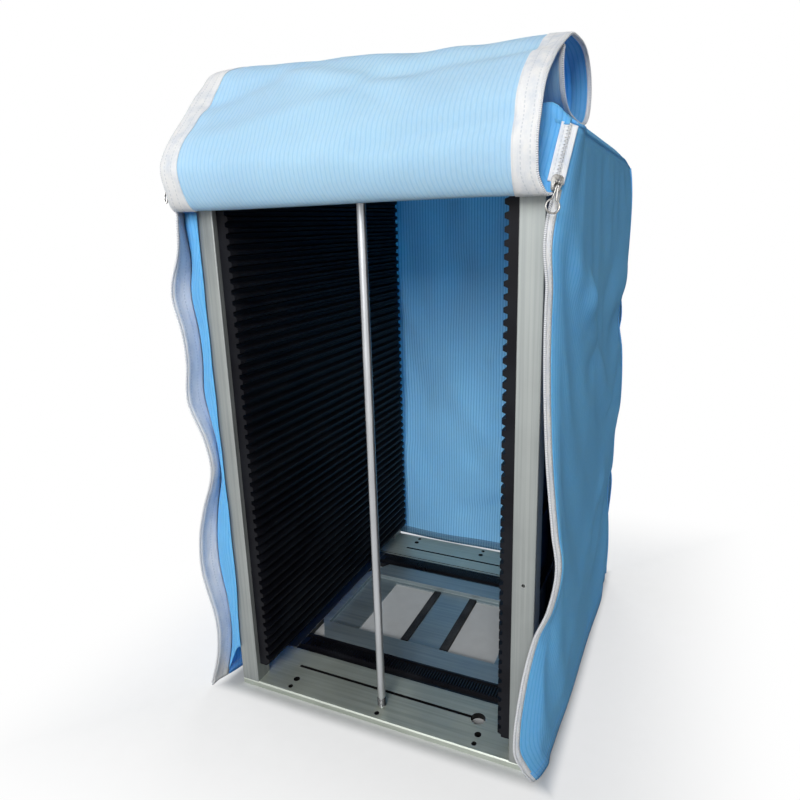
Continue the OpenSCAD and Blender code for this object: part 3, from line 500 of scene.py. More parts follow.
def ribbed_rubber():
    look = Look("rubber_trim", Specular_IOR_Level=0.3)
    grain = look.noise(look.place((500, 500, 500)), 3.0, 0.6)
    dust = look.noise(look.place((40, 25, 40)), 4.0, 0.6)
    along = look.node("SeparateXYZ", {0: look.place()}).outputs[1]
    ribs = look.wave(along, 2.2 * MM)
    height = look.math("ADD", look.times(ribs, 0.5), look.times(grain, 0.4))
    look.bump(height, 0.3 * MM, 0.8)
    tone = look.mix(look.between(dust, 0.35, 0.8), (0.012, 0.012, 0.013, 1), (0.05, 0.05, 0.052, 1))
    return look.set(Base_Color=tone, Roughness=look.between(grain, 0.3, 0.7, 0.6, 0.85))


def striped_fabric(name, light, dark, hem_shade=0.86):
    """Anti-static cloth: darker conductive threads run along it, and its hem has two rows of stitches."""
    look = Look(name, Specular_IOR_Level=0.0,
                Subsurface_Weight=0.6, Subsurface_Radius=(0.7, 1.0, 1.3), Subsurface_Scale=2.5 * MM)
    across, along = look.cloth()
    stripe = look.between(look.wave(across, STRIPE), 0.35, 0.95)
    mottle = look.noise(look.place((9, 9, 6)), 3.0, 0.5)
    fine = look.node("Mapping", {"Vector": look.cloth_place(), "Scale": (2400, 160, 1)}).outputs[0]
    fleck = look.noise(fine, 2.0)
    threads = look.times(look.wave(across, 0.5 * MM), look.wave(along, 0.5 * MM))
    tone = look.mix(look.times(stripe, 0.7), (*light, 1), (*dark, 1))
    tone = look.shade(tone, look.between(mottle, 0.3, 0.7, 0.95, 1.04))
    tone = look.shade(tone, look.between(fleck, 0.25, 0.75, 0.95, 1.04))
    stitch = 0.0
    for row in (HEM_W - 2 * MM, HEM_W - 8 * MM):
        off = look.math("ABSOLUTE", look.math("SUBTRACT", along, row))
        stitch = look.math("MAXIMUM", stitch, look.between(off, 0.25 * MM, 0.65 * MM, 1.0, 0.0))
    stitch = look.times(stitch, look.between(look.wave(across, 3 * MM), -0.6, -0.2))
    tone = look.mix(look.times(stitch, 0.6), tone, (0.45, 0.66, 0.88, 1))
    height = look.math("ADD", look.times(threads, 0.2), look.times(stripe, 0.12))
    look.bump(look.math("ADD", height, stitch), 0.14 * MM, 0.5)
    hem = look.between(along, HEM_W - 0.4 * MM, HEM_W + 0.4 * MM, hem_shade, 1.0)
    return look.set(Base_Color=look.shade(tone, hem), Roughness=look.between(mottle, 0.3, 0.7, 0.5, 0.64))


def woven_tape(name, width):
    """White zip tape: fine ridges along it and a row of stitches near each edge."""
    look = Look(name, Specular_IOR_Level=0.1,
                Subsurface_Weight=0.5, Subsurface_Radius=(1.0, 1.1, 1.3), Subsurface_Scale=2 * MM)
    across, along = look.cloth()
    ridges = look.wave(across, 1.3 * MM)
    weave = look.wave(along, 0.8 * MM)
    dash = look.between(look.wave(along, 3.2 * MM), -0.5, -0.1)
    rows = []
    for place in (0.22 * width, 0.62 * width):
        off = look.math("ABSOLUTE", look.math("SUBTRACT", across, place))
        rows.append(look.between(off, 0.25 * MM, 0.6 * MM, 1.0, 0.0))
    stitch = look.times(look.math("MAXIMUM", rows[0], rows[1]), dash)
    soil = look.noise(look.place((90, 90, 45)), 4.0, 0.6)
    tone = look.mix(look.between(soil, 0.35, 0.75), (0.82, 0.84, 0.87, 1), (0.64, 0.69, 0.77, 1))
    tone = look.mix(look.times(stitch, 0.5), tone, (0.46, 0.52, 0.60, 1))
    height = look.math("ADD", look.times(ridges, 0.4), look.times(weave, 0.2))
    height = look.math("SUBTRACT", height, look.times(stitch, 0.8))
    look.bump(height, 0.18 * MM, 0.7)
    return look.set(Base_Color=tone, Roughness=look.between(soil, 0.3, 0.7, 0.62, 0.78))


def nylon_coil():
    look = Look("zip_coil", Specular_IOR_Level=0.5)
    turns = look.wave(look.cloth()[1], 1.4 * MM)
    # Lighter on the crests of the turns and darker between them: painted shade in the gaps of the coil.
    tone = look.mix(look.between(turns, -0.6, 0.6), (0.58, 0.61, 0.65, 1), (0.84, 0.85, 0.87, 1))
    look.bump(turns, 0.3 * MM, 0.9)
    return look.set(Base_Color=tone, Roughness=look.between(turns, -1, 1, 0.5, 0.35))


PLATE = brushed_metal("plate_steel", (0.40, 0.44, 0.38), (0.51, 0.55, 0.49), (0.42, 0.56), (5, 420, 120),
                      metallic=0.6, edge=0.6 * MM, painted_bore_shade=STRIP_BORES)
# Rails near-black: a dark coat that also stands in for the deep shade inside the rack, as painted shade.
RAIL = brushed_metal("rail_steel", (0.018, 0.02, 0.022), (0.03, 0.032, 0.035), (0.5, 0.62), (420, 5, 120),
                     metallic=0.2, edge=0.4 * MM)
TRAY = brushed_metal("tray_steel", (0.23, 0.28, 0.30), (0.31, 0.37, 0.39), (0.34, 0.48), (6, 260, 120),
                     metallic=0.6, edge=0.6 * MM)
POST = brushed_metal("post_aluminium", (0.25, 0.27, 0.265), (0.33, 0.35, 0.34), (0.46, 0.58), (320, 320, 3),
                     metallic=0.6, edge=0.4 * MM)
STEEL = brushed_metal("bright_steel", (0.40, 0.415, 0.43), (0.50, 0.515, 0.53), (0.32, 0.42), (300, 300, 5),
                      bump=0.01 * MM, metallic=0.85)
ZINC = brushed_metal("zip_metal", (0.20, 0.195, 0.185), (0.34, 0.335, 0.32), (0.2, 0.34), (400, 400, 400),
                     bump=0.02 * MM)
SPRING = brushed_metal("spring_steel", (0.16, 0.165, 0.17), (0.24, 0.245, 0.25), (0.22, 0.3), (90, 90, 90),
                       bump=0.01 * MM, metallic=0.9)
PLASTIC = moulded_plastic("black_plastic", 0.1, (0.36, 0.5))
POM = moulded_plastic("rack_plastic", 0.4, (0.26, 0.4))
RUBBER = ribbed_rubber()
FABRIC = striped_fabric("cover_fabric", (0.155, 0.45, 0.90), (0.095, 0.355, 0.80))
# Copy of the cloth's colours for the back panel's inside face, matched to how that face looks in shade, with
# its hem darkened to half: painted shade.
INSIDE_PAINTED_SHADE = striped_fabric("cover_fabric_inside_painted_shade", (0.235, 0.47, 0.69), (0.085, 0.25, 0.45), 0.5)
# Paler copy of the cloth on the rolled flap's outside: partly the cloth's paler reverse side, partly painted
# light for the brightly lit flap.
REVERSE_PAINTED_LIGHT = striped_fabric("cover_fabric_reverse_painted_light", (0.41, 0.635, 0.90), (0.33, 0.565, 0.86))
FLAP_TAPE = woven_tape("flap_tape", FLAP_TAPE_W)
EDGE_TAPE = woven_tape("edge_tape", INNER_TAPE_W)
ZIP_TAPE = woven_tape("zip_tape", ZIP_W)
COIL = nylon_coil()

FINISH = {
    PLATE: ("_strip",),
    RAIL: ("_rail",),
    TRAY: ("_tray",),
    RUBBER: ("_edge_trims",),
    PLASTIC: ("fixed_wall", "movable_wall", "_ribs", "_bearing"),
    POM: ("_rack", "_pinion"),
    POST: ("_post",),
    STEEL: ("_screws", "_shaft", "stop_rod"),
}
for name, node in nodes.items():
    for material, endings in FINISH.items():
        if name.endswith(endings):
            node.data.materials.clear()
            node.data.materials.append(material)


# Cloth

CLOTH = {
    "quality": 6, "mass": 0.05,
    "tension_stiffness": 20, "compression_stiffness": 20, "shear_stiffness": 8, "bending_stiffness": 2.5,
    "tension_damping": 12, "compression_damping": 12, "shear_damping": 12,
}


def settle(piece, held, growth, limit, frames=24):
    """Cloth simulation: the held points stay, and the rest takes up the slack of a cut larger by growth."""
    mesh = piece.data
    start = [v.co.copy() for v in mesh.vertices]
    group = piece.vertex_groups.new(name="held")
    group.add(list(held), 1.0, "REPLACE")
    cloth = piece.modifiers.new("Cloth", "CLOTH")
    for setting, value in CLOTH.items():
        setattr(cloth.settings, setting, value)
    cloth.settings.vertex_group_mass = group.name
    cloth.settings.shrink_min = -growth
    cloth.settings.effector_weights.gravity = 0.4
    cloth.collision_settings.use_collision = False
    scene = bpy.context.scene
    for k in range(1, frames + 1):
        scene.frame_set(k)
    settled = piece.evaluated_get(bpy.context.evaluated_depsgraph_get()).to_mesh()
    moved = [v.co.copy() for v in settled.vertices]
    piece.modifiers.remove(cloth)
    piece.vertex_groups.remove(piece.vertex_groups["held"])
    for vertex, before, after in zip(mesh.vertices, start, moved):
        move = after - before
        if move.length > 1e-9:
            move *= limit * math.tanh(move.length / limit) / move.length
        vertex.co = before + move
        vertex.co.z = max(vertex.co.z, HEM_Z - HEM_SAG)
    scene.frame_set(1)


def held_points(rows, columns, stiff):
    """Points of a panel that the simulation leaves alone: its stiff columns and its top row."""
    held = [i * columns + j for i in range(rows) for j in stiff]
    return held + [(rows - 1) * columns + j for j in range(columns)]


def hem_points(heights, columns, cut):
    """Points in the turned-up hem of a panel."""
    return [i * columns + j for i, t in enumerate(heights) if t * cut[1] < HEM_TURN for j in range(columns)]


def ripple(p, pitch, height, seed):
    """Small seeded unevenness of a hanging cloth."""
    return height * noise.noise(Vector((p[0] / pitch, p[1] / pitch, p[2] / pitch + seed)))


def fold_height(folds, across, along):
    """How far pressed-in folds move a point of a cloth outwards."""
    total, spot = 0.0, Vector((across, along))
    for a, b, width, height in folds:
        start, run = Vector(a) * MM, (Vector(b) - Vector(a)) * MM
        u = max(0.0, min(1.0, (spot - start).dot(run) / run.length_squared))
        gap = (spot - start - u * run).length
        total += height * MM * math.exp(-((gap / (width * MM)) ** 2))
    return total


def corner_fall(x):
    """How far the top panel falls outside the rack."""
    share = max(0.0, abs(x) - HALF_W - FALL_START) / (SIDE_EASE - FALL_START)
    return (SEAM_DROP + FABRIC_T) * share**FALL_POWER


def rear_droop(x, y):
    """How far the cover sags at its rear top corners, outside the rack."""
    return DROOP * ramp(abs(x), *DROOP_X) * ramp(y, *DROOP_Y)


def rear_sway(y, z):
    """How far the cover's rear corners stand out from the straight, by height."""
    return curve(SWAY, min(z / MM, SWAY[-1][0]), 1) * MM * ramp(y, *SWAY_Y)


# Side panels

def swing(edge, turn, back, t):
    """How far out a side panel swings, less and less behind its edge."""
    rest = 1 - min(1.0, max(0.0, back - EDGE_TAPE_W) / EDGE_FADE)
    return (curve(edge, t, 1) * MM + min(back, EDGE_TAPE_W) * math.sin(turn)) * rest * rest


def depth(edge, turn, back, t):
    return COVER_FRONT + curve(edge, t, 2) * MM + back - min(back, EDGE_TAPE_W) * (1 - math.cos(turn))


def side_point(edge, turn, back, t, inset):
    """Point of a side panel on the right, at a distance back from its edge and a share of its height."""
    x_top = COVER_X + swing(edge, turn, back, 1)
    z_top = SEAT_Z - FABRIC_T - SEAM_DROP * (x_top - HALF_W) / SIDE_EASE
    x = COVER_X + swing(edge, turn, back, t) - inset
    return Vector((x, depth(edge, turn, back, t), HEM_Z + (z_top - HEM_Z) * t))


def front_point(edge, turn, back, t, side, inset=0.5 * FABRIC_T):
    """Point of a side panel. Near its top the front edge bends round to meet the zip's closed stretch."""
    p = side_point(edge, turn, back, t, inset)
    share = ramp(t, *ZIP_BEND)
    if share > 0 and back < ZIP_REACH:
        up = (p.z - ZIP_FOOT.z) / ON_ZIP[2][2]
        a = ON_ZIP @ Vector((-inset - ZIP_BEHIND, ZIP_ASIDE, up))
        b = side_point(edge, turn, ZIP_REACH, t, inset)
        lean = b - side_point(edge, turn, ZIP_REACH - MM, t, inset)
        reach = (b - a).length
        ahead = ON_ZIP.to_3x3() @ Vector((0, 1, 0))
        bend = blend(back / ZIP_REACH, a, reach * ahead, b, reach * lean.normalized())
        p = p.lerp(Vector((bend.x, bend.y, p.z)), share)
    p.x *= side
    return p


def side_panel(name, edge, turn, side):
    heights = spread(0, 1, 100)
    rows, uvs = [], []
    for t in heights:
        start = EDGE_TAPE_SEEN - TAPE_LAP - MM * ramp(t, ZIP_SHARE, ZIP_LEAD)
        near = spread(start, EDGE_TAPE_W + EDGE_FADE, 16)
        far = EDGE_TAPE_W + COVER_BACK - CORNER_R - depth(edge, turn, EDGE_TAPE_W, t)
        backs = near + spread(near[-1], far, 52)[1:]
        row = []
        for back in backs:
            p = front_point(edge, turn, back, t, side)
            free = ramp(back, INNER_TAPE_W, FREE_RUN) * ease((far - back) / FREE_RUN)
            free *= ease((1 - t) / FREE_TOP)
            p.x += side * free * (fold_height(SIDE_FOLDS, p.y, p.z) + ripple(p, *SIDE_RIPPLE, side))
            p.x += side * rear_sway(p.y, p.z)
            p.z -= rear_droop(p.x, p.y) * t
            row.append(p)
        rows.append(row)
        uvs.append([(back, p.z - HEM_Z) for back, p in zip(backs, row)])
    piece = grid_piece(name, rows, uvs, FABRIC)
    columns = len(backs)
    stiff = [j for j, back in enumerate(backs) if back < INNER_TAPE_W + TAPE_LAP] + [columns - 1]
    settle(piece, held_points(len(rows), columns, stiff), SIDE_SLACK, SIDE_MOVE)
    thicken(piece, CLOTH_T, hem_points(heights, columns, SIDE_CUT))
    return piece


def edge_strip(name, edge, turn, side, width, thickness, inset, material, top):
    """Strip along an open front edge, from the hem up to a share of the height."""
    rows, uvs = [], []
    for t in spread(0, top, 150):
        backs = spread(0, width, max(4, round(width / (2.5 * MM))))
        row = [front_point(edge, turn, back, t, side, inset) for back in backs]
        rows.append(row)
        uvs.append([(back, p.z) for back, p in zip(backs, row)])
    piece = grid_piece(name, rows, uvs, material)
    thicken(piece, thickness)
    return piece


def edge_coil(name, edge, turn, side):
    """Row of zip teeth along an open edge."""
    path = [
        front_point(edge, turn, 0, t, side) + Vector((0, -EDGE_COIL_OUT, 0))
        for t in spread(0.006, ZIP_SHARE - 0.012, 220)
    ]
    return tube_piece(name, path, EDGE_COIL_R, COIL)


def edge_lining(name, edge, turn, side):
    """Loose strip of cloth sewn behind an open edge, that hangs over the front of the post."""
    rows, uvs = [], []
    for up in spread(0, 1, 120):
        row = []
        for u in spread(0, 1, 13):
            foot = LINING_FOOT + LINING_SLANT * math.sin(math.pi / 2 * u)
            t = foot + (FACING_TOP - foot) * up
            sewn = front_point(edge, turn, LINING_SEAM, t, side, LINING_INSET)
            over = LINING_FOOT_OVER + (LINING_OVER - LINING_FOOT_OVER) * ease(t / 0.3)
            loose = Vector((side * (HALF_W - over), -HALF_D - LINING_OUT, sewn.z))
            loose.x += ripple(loose, *LINING_EDGE_RIPPLE)
            p = sewn.lerp(loose, u)
            p.y -= (LINING_BULGE + ripple(p, *LINING_RIPPLE)) * math.sin(math.pi * u)
            row.append(p)
        rows.append(row)
        uvs.append([((p - row[0]).length, 2 * HEM_W + p.z) for p in row])
    piece = grid_piece(name, rows, uvs, FABRIC)
    thicken(piece, CLOTH_T)
    return piece


cover = []
for name, edge, turn, side in SIDES:
    panel = side_panel(f"{name}_panel_cloth", edge, turn, side)
    tape = edge_strip(f"{name}_edge_tape_woven", edge, turn, side, EDGE_TAPE_SEEN, TAPE_T / 2, 0.5 * FABRIC_T,
                      EDGE_TAPE, ZIP_SHARE)
    facing = edge_strip(f"{name}_edge_facing", edge, turn, side, INNER_TAPE_W, FACING_T, FACING_INSET,
                        EDGE_TAPE, FACING_TOP)
    coil = edge_coil(f"{name}_edge_coil", edge, turn, side)
    trims = [tape, facing, coil]
    if side < 0:
        trims.append(edge_lining(f"{name}_edge_lining", edge, turn, side))
    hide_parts(f"cover_{name}_panel")
    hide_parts(f"{name}_edge_tape")
    cover += [panel] + trims


# Back panel

def rear_corner():
    """Plan of the right-hand rear corner, from the side to the back."""
    x, y, radius = COVER_X - CORNER_R, COVER_BACK - CORNER_R, CORNER_R - FABRIC_T / 2
    return [(x + radius * math.cos(a), y + radius * math.sin(a)) for a in spread(0, math.pi / 2, 8)]


def back_panel():
    corner, run = rear_corner(), []
    straight = COVER_X - CORNER_R
    middle = [(x, corner[-1][1]) for x in spread(straight, -straight, 58)[1:-1]]
    plan = corner + middle + [(-x, y) for x, y in reversed(corner)]
    for k, p in enumerate(plan):
        run.append(run[-1] + math.dist(p, plan[k - 1]) if k else 0.0)
    heights = spread(0, 1, 96)
    rows, uvs = [], []
    for t in heights:
        row = []
        for x, y in plan:
            top = SEAT_Z - FABRIC_T / 2 - corner_fall(x) - rear_droop(x, y)
            free = ease((HALF_W - abs(x)) / FREE_RUN) * ease((1 - t) / FREE_TOP)
            z = BACK_HEM_Z + (top - BACK_HEM_Z) * t
            wave = BACK_WAVE * math.sin((x * 0.8 + z * 0.6) / BACK_WAVE_RUN) + ripple((x, y, z), *BACK_RIPPLE)
            wave += fold_height(BACK_FOLDS, x, z)
            out = math.copysign(rear_sway(COVER_BACK, z) * ramp(abs(x), *BACK_SWAY_X), x)
            row.append(Vector((x + out, y + free * wave, z)))
        rows.append(row)
        uvs.append([(run[k], p.z - BACK_HEM_Z) for k, p in enumerate(row)])
    piece = grid_piece("back_panel_cloth", rows, uvs, FABRIC)
    columns = len(plan)
    settle(piece, held_points(len(rows), columns, (0, columns - 1)), BACK_SLACK, BACK_MOVE)
    thicken(piece, CLOTH_T, hem_points(heights, columns, BACK_CUT), INSIDE_PAINTED_SHADE)
    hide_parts("cover_back_panel")
    return piece


cover.append(back_panel())


# Top panel

def seam_line(edge, turn, side):
    """Top edge of a side panel, from the zip to the rear corner."""
    far = EDGE_TAPE_W + COVER_BACK - CORNER_R - depth(edge, turn, EDGE_TAPE_W, 1)
    return [front_point(edge, turn, back, 1, side) for back in spread(0, far, 90)]


def seam_x(line, y):
    """How far out a side seam is, y from front to back."""
    for a, b in zip(line, line[1:]):
        if a.y <= y <= b.y:
            return a.x + (b.x - a.x) * (y - a.y) / (b.y - a.y)
    return line[0].x if y < line[0].y else line[-1].x


RIGHT_SEAM = seam_line(RIGHT_EDGE, RIGHT_TURN, 1)
LEFT_SEAM = seam_line(LEFT_EDGE, LEFT_TURN, -1)


def top_panel():
    front = COVER_FRONT + (ROLL_LEFT[0][0] + 1.0) * MM
    rows, uvs = [], []
    for lip in (1.0, 0.6, 0.25):
        row = []
        for x in spread(seam_x(LEFT_SEAM, front), seam_x(RIGHT_SEAM, front), 72):
            corner = lip * ease((abs(x) - HALF_W - 2 * MM) / (4 * MM))
            z = SEAT_Z + FABRIC_T / 2 - corner_fall(x)
            row.append(Vector((x, front - 3 * MM * corner, z + (ZIP_TOP_Z - 2 * MM - z) * corner)))
        rows.append(row)
        uvs.append([(p.x, 2 * HEM_W - lip * 8 * MM) for p in row])
    for y in spread(front, COVER_BACK - 0.6 * MM, 62):
        right, left = seam_x(RIGHT_SEAM, y), -seam_x(LEFT_SEAM, y)
        rounding = max(0.0, y - (COVER_BACK - CORNER_R))
        trim = CORNER_R - math.sqrt(max(0.0, CORNER_R**2 - rounding**2))
        row = []
        for x in spread(trim - left, right - trim, 72):
            lift = max(0.0, ripple((x, y, 0), *TOP_RIPPLE)) * ease((COVER_BACK - y) / (20 * MM))
            lift *= ease((HALF_W - abs(x)) / (25 * MM))
            outside = ease(max((abs(x) - HALF_W) / (12 * MM), (y - HALF_D) / (8 * MM)))
            z = SEAT_Z + FABRIC_T / 2 - corner_fall(x) + lift
            row.append(Vector((x, y, z - rear_droop(x, y) * outside)))
        rows.append(row)
        uvs.append([(p.x, y - front + 2 * HEM_W) for p in row])
    piece = grid_piece("top_panel_cloth", rows, uvs, FABRIC)
    thicken(piece, CLOTH_T)
    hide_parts("cover_top_panel")
    return piece


cover.append(top_panel())


# Seams round the top panel and down the rear corners

def cover_seams():
    pieces = []
    for name, edge, turn, side in SIDES:
        line = seam_line(edge, turn, side)
        for x, y in rear_corner()[1:]:
            line.append(Vector((side * x, y, SEAT_Z - FABRIC_T / 2 - corner_fall(x))))
        path = [p + Vector((0, 0, TOP_SEAM_UP - rear_droop(p.x, p.y))) for p in line]
        pieces.append(tube_piece(f"{name}_top_seam", path, TOP_SEAM_R, FABRIC))
    y = COVER_BACK - FABRIC_T / 2
    path = [
        Vector((x, y, SEAT_Z + BACK_SEAM_UP - corner_fall(x) - rear_droop(x, y)))
        for x in spread(CORNER_R - COVER_X, COVER_X - CORNER_R, 60)
    ]
    pieces.append(tube_piece("rear_top_seam", path, BACK_SEAM_R, FABRIC))
    y = COVER_BACK - CORNER_R
    for name, *_, side in SIDES:
        path = [
            Vector((side * (COVER_X - FABRIC_T / 2 + rear_sway(COVER_BACK, z)), y, z))
            for z in spread(HEM_Z + MM, SEAM_Z - FABRIC_T - rear_droop(COVER_X, y), 90)
        ]
        pieces.append(tube_piece(f"{name}_rear_seam", path, REAR_SEAM_R, FABRIC))
    return pieces


cover += cover_seams()


# Rolled flap

def roll_curve(rows, t):
    numbered = [(k, a, b) for k, (a, b) in enumerate(rows)]
    return Vector((COVER_FRONT + curve(numbered, t, 1) * MM, SEAT_Z + FABRIC_T + curve(numbered, t, 2) * MM))


def roll_line(count=170):
    """The roll from the side, at even steps along the cloth: distance, and both ends' points and normals."""
    fine = spread(0, len(ROLL_LEFT) - 1, 1200)
    both = [(roll_curve(ROLL_LEFT, t), roll_curve(ROLL_RIGHT, t)) for t in fine]
    run = [0.0]
    for a, b in zip(both, both[1:]):
        run.append(run[-1] + ((b[0] + b[1]) / 2 - (a[0] + a[1]) / 2).length)
    line, k = [], 0
    for s in spread(0, run[-1], count):
        while k < len(run) - 2 and run[k + 1] < s:
            k += 1
        share = (s - run[k]) / (run[k + 1] - run[k])
        ends = []
        for side in (0, 1):
            ahead = (both[min(k + 3, len(both) - 1)][side] - both[max(k - 2, 0)][side]).normalized()
            ends.append((both[k][side].lerp(both[k + 1][side], share), Vector((-ahead.y, ahead.x))))
        line.append((s, ends))
    return line


ROLL = roll_line()
ROLL_L = ROLL[-1][0]


def roll_point(x, s, ends, offset=0.0):
    """Point of the flap: between the roll's two ends, and uneven across the rack."""
    share = ease((x + FLAP_X) / (2 * FLAP_X))
    point = ends[0][0].lerp(ends[1][0], share)
    across = ends[0][1].lerp(ends[1][1], share)
    wave = ripple((x, s, 0), *FLAP_SWELL) + ripple((x, s, 0), *FLAP_RIPPLE)
    wave += ripple((x + s, CREASE_LEAN * (s - x), 0), *FLAP_CREASE) + fold_height(FLAP_FOLDS, x, s)
    p = point + across * (wave * ramp(s, 60 * MM, 60 * MM) + offset)
    if p.x > COVER_FRONT + 9 * MM:
        p.y = max(p.y, SEAT_Z + FABRIC_T + 0.9 * MM)
    return Vector((x, p.x, p.y))


def zip_left(z, out=0.0):
    """Left-hand edge of the right-hand zip's closed stretch at a height."""
    up = max(0.0, min(ZIP_L, (z - ZIP_Z) / ON_ZIP[2][2]))
    return ON_ZIP @ Vector((out, -ZIP_W / 2, up))


def flap_half(s, ends):
    """Half width of the flap: up to the zips on its first layer, then up to its own tapes' edges."""
    z = ends[0][0].y
    below = ease((ZIP_Z + 3 * MM - z) / (4 * MM)) * ease((FLAP_FIRST_LAYER + 6 * MM - s) / (10 * MM))
    root = zip_left(z).x + 0.5 * MM + 5 * MM * below
    return root + (FLAP_X - FLAP_TUCK - root) * ramp(s, FLAP_FIRST_LAYER, 24 * MM)


def flap_point(x, s, ends, offset=0.0):
    """Point of the flap, whose first layer meets the zips."""
    p = roll_point(x, s, ends, offset)
    p.z -= corner_fall(x) * ease((24 * MM - s) / (20 * MM))
    share = ramp(abs(x), 135 * MM, 27 * MM) * ease((FLAP_FIRST_LAYER - s) / (12 * MM)) * ease(s / (10 * MM))
    p.y += (zip_left(p.z, -0.8 * MM).y - p.y) * share
    return p


def flap_sheet(name, columns, thickness, offset, material, first, reach, reverse=None):
    """Strip of the flap. reach gives its two edges at a distance along the cloth."""
    rows, uvs = [], []
    for s, ends in ROLL[first:]:
        x0, x1 = reach(s, ends)
        rows.append([flap_point(x, s, ends, offset) for x in spread(x0, x1, columns)])
        uvs.append([(abs(x - x1), s + 2 * HEM_W) for x in spread(x0, x1, columns)])
    piece = grid_piece(name, rows, uvs, material)
    thicken(piece, thickness, reverse=reverse)
    return piece


FOLD_ROW = min(k for k, row in enumerate(ROLL) if row[0] > FLAP_FIRST_LAYER - 4 * MM)
TAPE_OFFSET = (CLOTH_T + TAPE_LAYER_T) / 2
flap = flap_sheet("flap_cloth", 90, CLOTH_T, 0.0, REVERSE_PAINTED_LIGHT, 0,
                  lambda s, ends: (-flap_half(s, ends), flap_half(s, ends)), FABRIC)
flap_tapes = []
for name, side in (("left", -1), ("right", 1)):
    def broad(s, ends):
        width = FLAP_EDGE_W + (FLAP_TAPE_W - FLAP_EDGE_W) * ease((ROLL_L - 100 * MM - s) / (30 * MM))
        return side * (FLAP_X - FLAP_TUCK - width), side * flap_half(s, ends)

    def narrow(s, ends):
        return side * (FLAP_X - FLAP_TUCK - FLAP_EDGE_W), side * flap_half(s, ends)

    tape = flap_sheet(f"flap_{name}_tape_woven", 9, TAPE_LAYER_T, TAPE_OFFSET, FLAP_TAPE, FOLD_ROW, broad)
    edge = flap_sheet(f"flap_{name}_tape_edge", 4, TAPE_LAYER_T, -TAPE_OFFSET, FLAP_TAPE, FOLD_ROW, narrow)
    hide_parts(f"flap_{name}_tape")
    path = [flap_point(side * (flap_half(s, ends) + FLAP_COIL_OUT), s, ends) for s, ends in ROLL[FOLD_ROW:]]
    coil = tube_piece(f"flap_{name}_coil", path, FLAP_COIL_R, COIL)
    flap_tapes += [tape, edge, coil]
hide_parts("cover_flap")
cover += [flap] + flap_tapes


# Zips

def on_zip(side, up):
    return Matrix.Diagonal((side, 1, 1, 1)) @ ON_ZIP @ Matrix.Translation((0, 0, up))


def zip_closed(name, place, length):
    """Closed stretch: two tape halves and the coil where their teeth meet."""
    rows, uvs = [], []
    across = spread(-ZIP_W / 2, ZIP_W / 2, 13)
    ridge = [ZIP_RIDGE * math.exp(-((y / ZIP_RIDGE_W) ** 2)) + ZIP_TAPE_OUT for y in across]
    for z in spread(MM, length, 30):
        rows.append([place @ Vector((x, y, z)) for x, y in zip(ridge, across)])
        uvs.append([(y + ZIP_W / 2, z) for y in across])
    tape = grid_piece(f"{name}_zip_tape", rows, uvs, ZIP_TAPE)
    thicken(tape, ZIP_TAPE_T)
    bm = bmesh.new()
    size = Matrix.Diagonal((*TOOTH, 1))
    for k, z in enumerate(spread(1.5 * MM, length - 1.5 * MM, round(length / TOOTH_PITCH))):
        spot = Matrix.Translation((TOOTH_OUT, TOOTH_SHIFT * (-1) ** k, z))
        bmesh.ops.create_uvsphere(bm, u_segments=10, v_segments=6, radius=1, matrix=place @ spot @ size)
    bmesh.ops.recalc_face_normals(bm, faces=bm.faces[:])
    mesh = finished_mesh(f"{name}_zip_teeth", bm)
    mesh.uv_layers.new(name="cloth")
    return tape, new_piece(f"{name}_zip_teeth", mesh, COIL)


def prism(bm, outline, low, high, place):
    """Closed prism between two copies of an outline. place turns (a, b, height) into a point."""
    bottom = [bm.verts.new(place(a, b, low)) for a, b in outline]
    top = [bm.verts.new(place(a, b, high)) for a, b in outline]
    bm.faces.new(bottom[::-1])
    bm.faces.new(top)
    for k in range(len(outline)):
        after = (k + 1) % len(outline)
        bm.faces.new((bottom[k], bottom[after], top[after], top[k]))


def bevelled(name, bm, width, material):
    bmesh.ops.recalc_face_normals(bm, faces=bm.faces[:])
    piece = new_piece(name, finished_mesh(name, bm), material)
    bevel = piece.modifiers.new("Bevel", "BEVEL")
    bevel.width = width
    bevel.segments = 3
    bevel.limit_method = "ANGLE"
    bevel.angle_limit = math.radians(35)
    return piece


def zip_slider(name, place):
    """Slider body of two shield-shaped plates on a wedge, with two cheeks that hold the pull's pin."""
    def across(y, z, x):
        return place @ Vector((x * MM, y * MM, z * MM))

    def upright(x, z, y):
        return place @ Vector((x * MM, y * MM, z * MM))

    shield = [(-2.2, 5.5), (-3.6, 4.6), (-4.0, 2.8), (-3.7, -1), (-2.8, -4.6), (-1.9, -5.5),
              (1.9, -5.5), (2.8, -4.6), (3.7, -1), (4.0, 2.8), (3.6, 4.6), (2.2, 5.5)]
    bm = bmesh.new()
    prism(bm, shield, 2.0, 3.0, across)
    prism(bm, shield, 4.1, 5.1, across)
    prism(bm, [(y * 0.62, z * 0.8) for y, z in shield], 2.9, 4.2, across)
    cheek = [(5.0, -2.4), (5.0, 2.4)] + [
        (PIN_OUT / MM + 1.5 * math.sin(a), 1.5 * math.cos(a)) for a in spread(0, math.pi, 9)
    ]
    for y in (-1.0, 1.0):
        prism(bm, cheek, y * 2.2, y * 1.0, upright)
    body = bevelled(f"{name}_slider_body", bm, 0.22 * MM, ZINC)
    path = [place @ Vector((PIN_OUT, y * MM, 0)) for y in (-2.5, -2.3, 2.3, 2.5)]
    return body, tube_piece(f"{name}_slider_pin", path, PIN_R, ZINC, 14)


